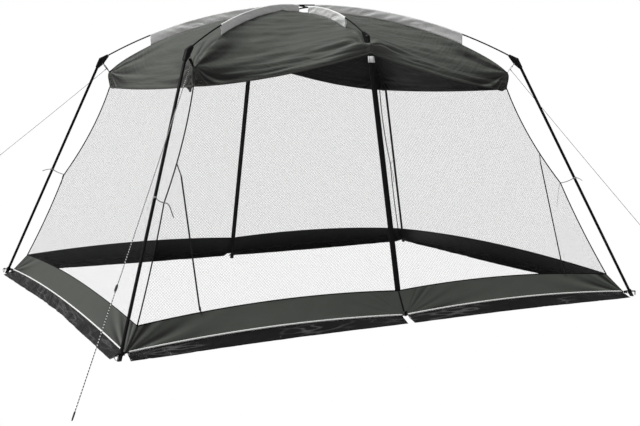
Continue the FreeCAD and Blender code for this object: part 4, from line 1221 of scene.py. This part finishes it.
def addFlap(panel):
    look = flapLook
    start, end = panels[panel]
    length = np.linalg.norm(skirtPoint(end) - skirtPoint(start))
    ts = np.linspace(trimOf(start) / length, 1 - trimOf(end) / length, look["cols"])
    shares = np.linspace(0, 1, look["rows"])
    points = np.array([[flapAt(panel, t, share, look["length"]) for t in ts] for share in shares])
    out = panelOut(panel)
    along = unit(skirtPoint(end) - skirtPoint(start))
    normals = gridNormals(points, out + up)
    shade = np.zeros(points.shape[:2])
    for i, share in enumerate(shares):
        for j in range(look["cols"]):
            p = points[i, j]
            fold = 1 - 2 * abs(rough(p, 16, 21))
            drawnOut = p - along * (p @ along) * 0.86  # a crease runs along the strip
            patch = smooth(-0.2, 0.35, rough(p, 3.2, 33))
            glint = max(0.0, 1 - 6 * abs(rough(drawnOut, 42, 31))) * patch * hump(share)
            # painted highlight: bright glint streaks along the creases, stored as negative foldShade and
            # painted lighter by the flap material
            shade[i, j] = -look["glint"] * glint
            lift = look["crumple"] * rough(p, 11, 20) + look["crease"] * (fold ** 4 - 0.4)
            lift += look["glintLift"] * glint
            points[i, j] += normals[i, j] * lift * smooth(0, 0.2, share)
            if share > 0.7:
                points[i, j] += out * 0.006 * rough(p, 7, 23) * (share - 0.7) / 0.3
            points[i, j][2] = max(points[i, j][2], 0.0014)
    obj = cloth("groundFlap_" + panel, [points], [out + up], materials["flap"], materials["flap"], 0.0006,
                shades=[shade])
    finishPiece(obj)
    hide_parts("ground_flaps")


for panel in panels:
    addSkirt(panel)
    addFlap(panel)
print("skirt and flaps done")


def addStrap(name, points, across, width, thickness, key, node=None, body=root):
    obj = strap(name, points, across, width, thickness, materials[key])
    faceOutward(obj)
    finishPiece(obj, body)
    if node:
        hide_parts(node)
    return obj


def panelPath(panel, line, shift=0.0, count=60, lift=0.0):
    return [line(panel, t) + panelOut(panel) * shift + up * lift for t in np.linspace(0, 1, count)]


seamLook = {
    "tape": 0.0016, "hemBinding": 0.012, "skirtSeam": 0.009, "piping": 0.0046, "pipingLift": 0.0070,
    "edge": 0.0024, "cornerEdge": 0.011, "middleEdge": 0.013, "stand": 0.001,
    "stitchPitch": 0.010, "stitchLength": 0.0068, "thread": 0.00055, "besideSleeve": 0.007,
}


def skirtEdge(name):
    out = outwardOf(name)
    return [mix(skirtTopPoint(name), skirtPoint(name), share) + out * seamLook["stand"]
            for share in np.linspace(0, 1, 8)]


stitchPaths = []
for panel in panels:
    start, end = panels[panel]
    hemPath = panelPath(panel, hemAt, 0.0012, lift=0.004)
    addStrap("hemBinding_" + panel, hemPath, up, seamLook["hemBinding"], seamLook["tape"], "canopy")
    skirtPath = panelPath(panel, skirtTopAt, 0.0010)
    addStrap("skirtSeam_" + panel, skirtPath, up, seamLook["skirtSeam"], seamLook["tape"], "binding")
    stitchPaths.append(panelPath(panel, hemAt, 0.0022, lift=0.007))
    stitchPaths.append(panelPath(panel, skirtTopAt, 0.0026, lift=-0.009))
    pipePath = panelPath(panel, skirtLowAt, 0.0016, count=80, lift=seamLook["pipingLift"])[1:-1]
    pipe = tube("piping_" + panel, pipePath, seamLook["piping"], materials["piping"], 12)
    finishPiece(pipe)
for name in corners:
    out, side = outwardOf(name), sideOf(name)
    panel = next(p for p in panels if panels[p][0] == name)
    seamLine = [wallAt(panel, 0, share) + out * seamLook["stand"] for share in np.linspace(0, 1, 60)]
    rib = tube("cornerSeam_" + name, seamLine, wallLook["seamRadius"], materials["binding"], 10)
    finishPiece(rib)
    addStrap("skirtCornerSeam_" + name, skirtEdge(name), side, seamLook["cornerEdge"], seamLook["edge"],
             "binding")
for name in middles:
    out, side = outwardOf(name), sideOf(name)
    band = [midSeam(name, mix(hem["midZ"] - 0.002, skirt["midTopZ"], share)) + out * 0.0012
            for share in np.linspace(0, 1, 50)]
    addStrap("middleBand_" + name, band, side, wallLook["bandWidth"], seamLook["tape"], "binding")
    addStrap("skirtMiddleSeam_" + name, skirtEdge(name), side, seamLook["middleEdge"], seamLook["edge"],
             "binding")
for name in ring:
    end = sleeveEnd(name)
    for flank in (-1, 1):
        aside = sideOf(name) * flank * seamLook["besideSleeve"]
        stitchPaths.append([ridgeAt(name, reach) + aside + up * 0.0012
                            for reach in np.linspace(0.05, end, 50)])
stitches = repeated("stitches", stitchPaths, seamLook["stitchPitch"], seamLook["stitchLength"],
                    seamLook["thread"], materials["thread"])
print("stitches %d faces" % len(stitches.data.polygons))


zips = {"front_left": -1, "front_right": 1}
zipLook = {
    "foot": (wallLook["zipX"], -1.369521, 0.198646), "along": (0, 0.342586, 0.939487), "length": 0.8195,
    "tape": 0.0105, "thickness": 0.0016, "stand": 0.0012, "lead": 0.0075, "leadThickness": 0.0012,
    "forkShare": 0.345, "coilPitch": 0.0021, "coilLength": 0.0058, "coilRadius": 0.0009,
    "coilStand": 0.0022,
    "stitchAside": 0.0044, "stitchWidth": 0.0009, "stitchThickness": 0.0007,
}


def addZip(panel):
    look = zipLook
    sign = zips[panel]
    foot = vec(sign * look["foot"][0], look["foot"][1], look["foot"][2])
    along = unit(vec(*look["along"]))
    across = vec(1, 0, 0)
    normal = unit(np.cross(across, along))
    normal = normal if normal[1] < 0 else -normal
    path = [foot + along * look["length"] * share + normal * look["stand"] for share in np.linspace(0, 1, 80)]
    top = path[-1]
    fork = wallAt(panel, 0.0 if sign < 0 else 1.0, look["forkShare"]) + normal * 0.004
    lead = [mix(top, fork, share) for share in np.linspace(0, 1, 14)]
    addStrap("zipLead_" + panel, lead, across, look["lead"], look["leadThickness"], "binding",
             "door_zippers")
    addStrap("zipTape_" + panel, path, across, look["tape"], look["thickness"], "binding",
             "door_zippers")
    coil = [p + normal * look["coilStand"] for p in path]
    teeth = repeated("zipCoil_" + panel, [coil], look["coilPitch"], look["coilLength"], look["coilRadius"],
                     materials["zipMetal"], across=across)
    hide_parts("door_zippers")
    for flank in (-1, 1):
        row = [p + vec(flank * look["stitchAside"], 0, 0) + normal * look["stand"] for p in path]
        addStrap("zipStitch_%s_%d" % (panel, flank + 1), row, across, look["stitchWidth"],
                 look["stitchThickness"], "thread")


for panel in zips:
    addZip(panel)
print("zips done")


tapes = {
    "tieLegZ": 0.860, "band": 0.0062, "thickness": 0.0012, "midWrap": 0.044, "midWrapDown": 0.040,
    "wrapWidth": 0.013, "patch": 0.048, "patchThickness": 0.0016, "knot": (0.0042, 0.0050, 0.0035),
    "knotWidth": 0.0055, "knotTurns": 1.35, "patchStand": 0.0030, "patchBow": 0.005,
    "stripSway": 0.0015, "stripSag": 0.006, "knotStand": 0.003, "tailSway": 0.006, "tailDroop": 1.8,
}
tieTails = {
    "rear_left": ((0.072, 0.016), (0.030, 0.080)), "front_left": ((0.055, 0.066), (-0.105, 0.100)),
    "front_right": ((0.044, 0.020), (-0.020, 0.176)), "rear_right": ((0.040, 0.030), (0.085, 0.185)),
}


def around(centre, axis, radius, count=40, turns=1.0, climb=0.0):
    side = unit(np.cross(axis, up))
    lift = np.cross(axis, side)
    angles = [2 * math.pi * turns * k / count for k in range(count + 1)]
    return [centre + (side * math.cos(a) + lift * math.sin(a)) * radius + axis * climb * (k / count - 0.5)
            for k, a in enumerate(angles)]


def addTie(name):
    axis, out = legAxis(name), outwardOf(name)
    thick = tapes["patchThickness"]
    if not isCorner(name):
        centre = legAt(name, hem["midZ"] - tapes["midWrapDown"])
        loops = around(centre, axis, legRadius(name) + thick, 120, turns=4.0, climb=tapes["midWrap"] * 0.8)
        addStrap("legWrap_" + name, loops, axis, tapes["wrapWidth"], thick, "sleeve", "tie_tapes")
        front = midSeam(name, centre[2]) + outwardOf(name) * tapes["patchStand"]
        sweep = np.linspace(-1, 1, 15)
        patch = [front + sideOf(name) * share * tapes["patch"] / 2 - out * tapes["patchBow"] * share ** 2
                 for share in sweep]
        addStrap("wrapPatch_" + name, patch, axis, tapes["patch"] * 0.92, thick, "sleeve",
                 "tie_tapes")
        return

    def addRibbon(kind, points, across, width=tapes["band"], thickness=tapes["thickness"]):
        addStrap(kind + "_" + name, points, across, width, thickness, "ribbon", "tie_tapes")

    centre = legAt(name, tapes["tieLegZ"])
    radius = legRadius(name) + tapes["thickness"]
    addRibbon("tieBand", around(centre, axis, radius, 72, 2.0, 0.006), axis)
    start = signed(name, *seam["tie"])
    side = sideOf(name)
    run = [mix(start, centre, share) + side * tapes["stripSway"] * math.sin(share * 9)
           - up * tapes["stripSag"] * hump(share) for share in np.linspace(0, 0.93, 20)]
    addRibbon("tieStrip", run, up)
    spots = (("leg", centre + out * (radius + tapes["knotStand"])), ("seam", start))
    wide, tall, deep = tapes["knot"]
    for label, spot in spots:
        bow = [spot + (out * math.cos(a) * wide + up * math.sin(a) * tall)
               + side * deep * math.sin(2 * a + 0.6)
               for a in np.linspace(0, 2 * math.pi * tapes["knotTurns"], 40)]
        addRibbon("tieKnot_" + label, bow, side, tapes["knotWidth"])
    for (label, spot), (sideways, downwards) in zip(spots, tieTails[name]):
        tail = [spot + out * sideways * share - up * downwards * share ** tapes["tailDroop"]
                + side * tapes["tailSway"] * math.sin(share * 5) for share in np.linspace(0, 1, 26)]
        addRibbon("tieTail_" + label, tail, up * 0.8 + side * 0.6, thickness=tapes["thickness"] * 0.8)


hubLug = {"in": 0.016, "down": 0.027, "link": 0.028}
tabLook = {
    "width": 0.018, "thickness": 0.0014, "apart": 0.0035, "turn": 0.0040, "blendEnd": 0.006,
    "patchWidth": 0.030, "patchThickness": 0.0016, "patchLength": 0.040,
    "boxStart": 0.018, "boxLength": 0.012, "boxHalf": 0.006, "boxLift": 0.0044, "pitch": 0.0024,
    "stitch": 0.0019, "thread": 0.0004,
}


def lugPoint(name):
    return hubOf(name) - outwardOf(name) * hubLug["in"] - up * hubLug["down"]


def addTab(name):
    # webbing that loops through the wire link and is sewn to the canopy's corner
    look = tabLook
    lug = lugPoint(name)
    corner = eavePoint(name)
    along = unit(corner - lug)
    side = sideOf(name)
    lift = np.cross(along, side)
    bar = lug + along * hubLug["link"]
    run = np.linalg.norm(corner - bar)
    path = [bar + along * run * share + lift * look["apart"] * (1 - share) ** 0.5
            for share in np.linspace(1, 0.12, 14)]
    path += [bar + (-along * math.cos(a) + lift * math.sin(a)) * look["turn"]
             for a in np.linspace(math.pi / 2, -math.pi / 2, 10)]
    path += [bar + along * run * share - lift * look["apart"] * (1 - share) ** 0.5
             for share in np.linspace(0.12, 0.75, 10)]
    tabPiece = addStrap("canopyTab_" + name, path, side, look["width"], look["thickness"], "webbing",
                        "canopy_tabs", body=None)
    upRidge = unit(ridgeAt(name, sleeveEnd(name)) - corner)
    patch = [corner + outwardOf(name) * 0.001 + upRidge * look["patchLength"] * share
             for share in np.linspace(-0.1, 1, 8)]
    addStrap("tabPatch_" + name, patch, side, look["patchWidth"], look["patchThickness"], "canopy")
    box = [bar + along * (look["boxStart"] + look["boxLength"] * u) + side * look["boxHalf"] * v
           + lift * look["boxLift"] for u, v in ((0, -1), (0, 1), (1, 1), (1, -1), (0, -1))]
    sewn = repeated("tabStitch_" + name, [box], look["pitch"], look["stitch"], look["thread"],
                    materials["thread"], body=None)
    for piece in (tabPiece, sewn):  # both pieces are baked into world space and stay unattached
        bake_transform(piece)


ringLook = {"z": 0.036, "midZ": 0.062, "out": 0.027, "midOut": 0.008, "capWall": 0.003}
webbingLook = {
    "width": 0.020, "thickness": 0.0015, "turn": 0.0034, "bandWidth": 0.018, "bandThickness": 0.0014,
    "stayStart": 0.001, "stayLength": 0.024, "stayThickness": 0.0018, "eyeletAt": 0.013,
    "eyelet": 0.0052, "rim": 0.0012, "slack": 0.0002, "loopStand": 0.002, "baseStand": 0.003,
}


def ringPivot(name):
    if isCorner(name):
        stand = plan["legRadius"] + ringLook["capWall"] + ringLook["out"]
        return legAt(name, ringLook["z"]) + outwardOf(name) * stand
    lift = ringLook["midZ"] - skirt["midLow"][1]
    return skirtPoint(name) + outwardOf(name) * ringLook["midOut"] + up * lift


def addWebbing(name):
    look = webbingLook
    out, side, pivot = outwardOf(name), sideOf(name), ringPivot(name)
    turn = up * look["turn"]
    loop = [pivot + (out * math.sin(a) + up * math.cos(a)) * look["turn"]
            for a in np.linspace(-0.1, math.pi + 0.1, 12)]

    def addFootStrap(kind, points, across, width, thickness):
        addStrap(kind + "_" + name, points, across, width, thickness, "webbing", "foot_webbing")

    if not isCorner(name):
        base = skirtPoint(name) + out * look["baseStand"]
        path = [mix(base, pivot + turn, share) for share in np.linspace(0, 0.92, 8)]
        path += loop + [mix(pivot - turn, base, share) for share in np.linspace(0.1, 0.85, 7)]
        addFootStrap("footWebbing", path, side, look["width"], look["thickness"])
        return
    axis = legAxis(name)
    centre = legAt(name, ringLook["z"])
    radius = plan["legRadius"] + look["slack"] + ringLook["capWall"] + look["bandThickness"]
    addFootStrap("footBand", around(centre, axis, radius, 60, 1.6, 0.004), axis, look["bandWidth"],
                 look["bandThickness"])
    front = centre + out * (radius + look["loopStand"])
    path = [front + turn] + loop + [front - turn]
    addFootStrap("ringLoop", path, side, look["width"], look["thickness"])
    inner = skirtPoint(name)
    direction = unit(centre - inner)
    across = unit(up - direction * (up @ direction))
    stay = [inner + direction * (look["stayStart"] + look["stayLength"] * share)
            for share in np.linspace(0, 1, 6)]
    addFootStrap("skirtStay", stay, across, look["width"], look["stayThickness"])
    hole = inner + direction * look["eyeletAt"]
    normal = np.cross(direction, across)
    for flank in (-1, 1):
        rim = [hole + normal * flank * look["rim"]
               + (direction * math.cos(a) + across * math.sin(a)) * look["eyelet"]
               for a in np.linspace(0, 2 * math.pi, 29)[:-1]]
        eyelet = tube("eyelet%d_%s" % (flank + 1, name), rim, look["rim"], materials["plate"], 8, closed=True)
        finishPiece(eyelet)


for name in ring:
    addTie(name)
    addWebbing(name)
for name in corners:
    addTab(name)

crossingLook = {"reach": 0.008, "down": 0.012, "turns": 3, "cord": 0.0016}
crossing = vec(0, 0, plan["peakZ"])
wrapPath = [crossing + (vec(math.cos(a), math.sin(a), 0) * crossingLook["reach"] * math.cos(a * 0.31))
            - up * crossingLook["down"] * (1 - math.cos(a * 0.9))
            for a in np.linspace(0, 2 * math.pi * crossingLook["turns"], 90)]
tie = tube("crossingTie", wrapPath, crossingLook["cord"], materials["webbing"], 8)
finishPiece(tie)
print("ties and webbing done")


nodeLooks = (
    ("leg_end_caps", "rubber"), ("leg_", "legSteel"), ("corner_hub", "plastic"), ("middle_hub", "plastic"),
    ("roof_pole_ferrules", "plate"), ("roof_pole", "fibreglass"), ("corner_link", "plate"),
    ("peg_ring", "plate"), ("zip_slider", "zipMetal"), ("zip_pull", "zipMetal"),
)
for node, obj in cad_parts.items():
    for prefix, key in nodeLooks:
        if node.startswith(prefix):
            obj.data.materials.clear()
            obj.data.materials.append(materials[key])
            break
print("fittings done")


studio = {
    "worldSeen": 1.0, "worldLight": 0.20, "sun": 3.4, "sunAngle": 40, "sunTilt": (-6, -24), "floorShade": 0.3,
    "floorHalf": 60, "floorZ": -0.001,
}


def addStudio():
    world = bpy.data.worlds.new("studio")
    world.use_nodes = True
    tree = world.node_tree
    background = tree.nodes["Background"]
    background.inputs["Color"].default_value = (1, 1, 1, 1)
    path = tree.nodes.new("ShaderNodeLightPath")
    extra = studio["worldSeen"] - studio["worldLight"]
    seen = mathNode(tree, "MULTIPLY_ADD", path.outputs["Is Camera Ray"], extra, studio["worldLight"])
    tree.links.new(seen, background.inputs["Strength"])
    scene.world = world
    data = bpy.data.lights.new("topLight", "SUN")
    data.energy = studio["sun"]
    data.angle = math.radians(studio["sunAngle"])
    light = bpy.data.objects.new("topLight", data)
    light.rotation_euler = (math.radians(studio["sunTilt"][0]), math.radians(studio["sunTilt"][1]), 0)
    scene.collection.objects.link(light)
    material, tree, shader = startMaterial("paleFloor")
    shader.inputs["Base Color"].default_value = (*[studio["floorShade"]] * 3, 1)
    shader.inputs["Roughness"].default_value = 0.9
    output = next(node for node in tree.nodes if node.type == "OUTPUT_MATERIAL")
    glow = tree.nodes.new("ShaderNodeEmission")
    glow.inputs["Strength"].default_value = 1.0
    blend = tree.nodes.new("ShaderNodeMixShader")
    path = tree.nodes.new("ShaderNodeLightPath")
    tree.links.new(mathNode(tree, "MULTIPLY", path.outputs["Is Camera Ray"], 1.0), blend.inputs[0])
    tree.links.new(shader.outputs[0], blend.inputs[1])
    tree.links.new(glow.outputs[0], blend.inputs[2])
    tree.links.new(blend.outputs[0], output.inputs[0])
    half, low = studio["floorHalf"], studio["floorZ"]
    edge = [(-half, -half, low), (half, -half, low), (half, half, low), (-half, half, low)]
    floor = linkMesh("floor", edge, [(0, 1, 2, 3)], [material])


addStudio()
scene.view_settings.view_transform = "Standard"
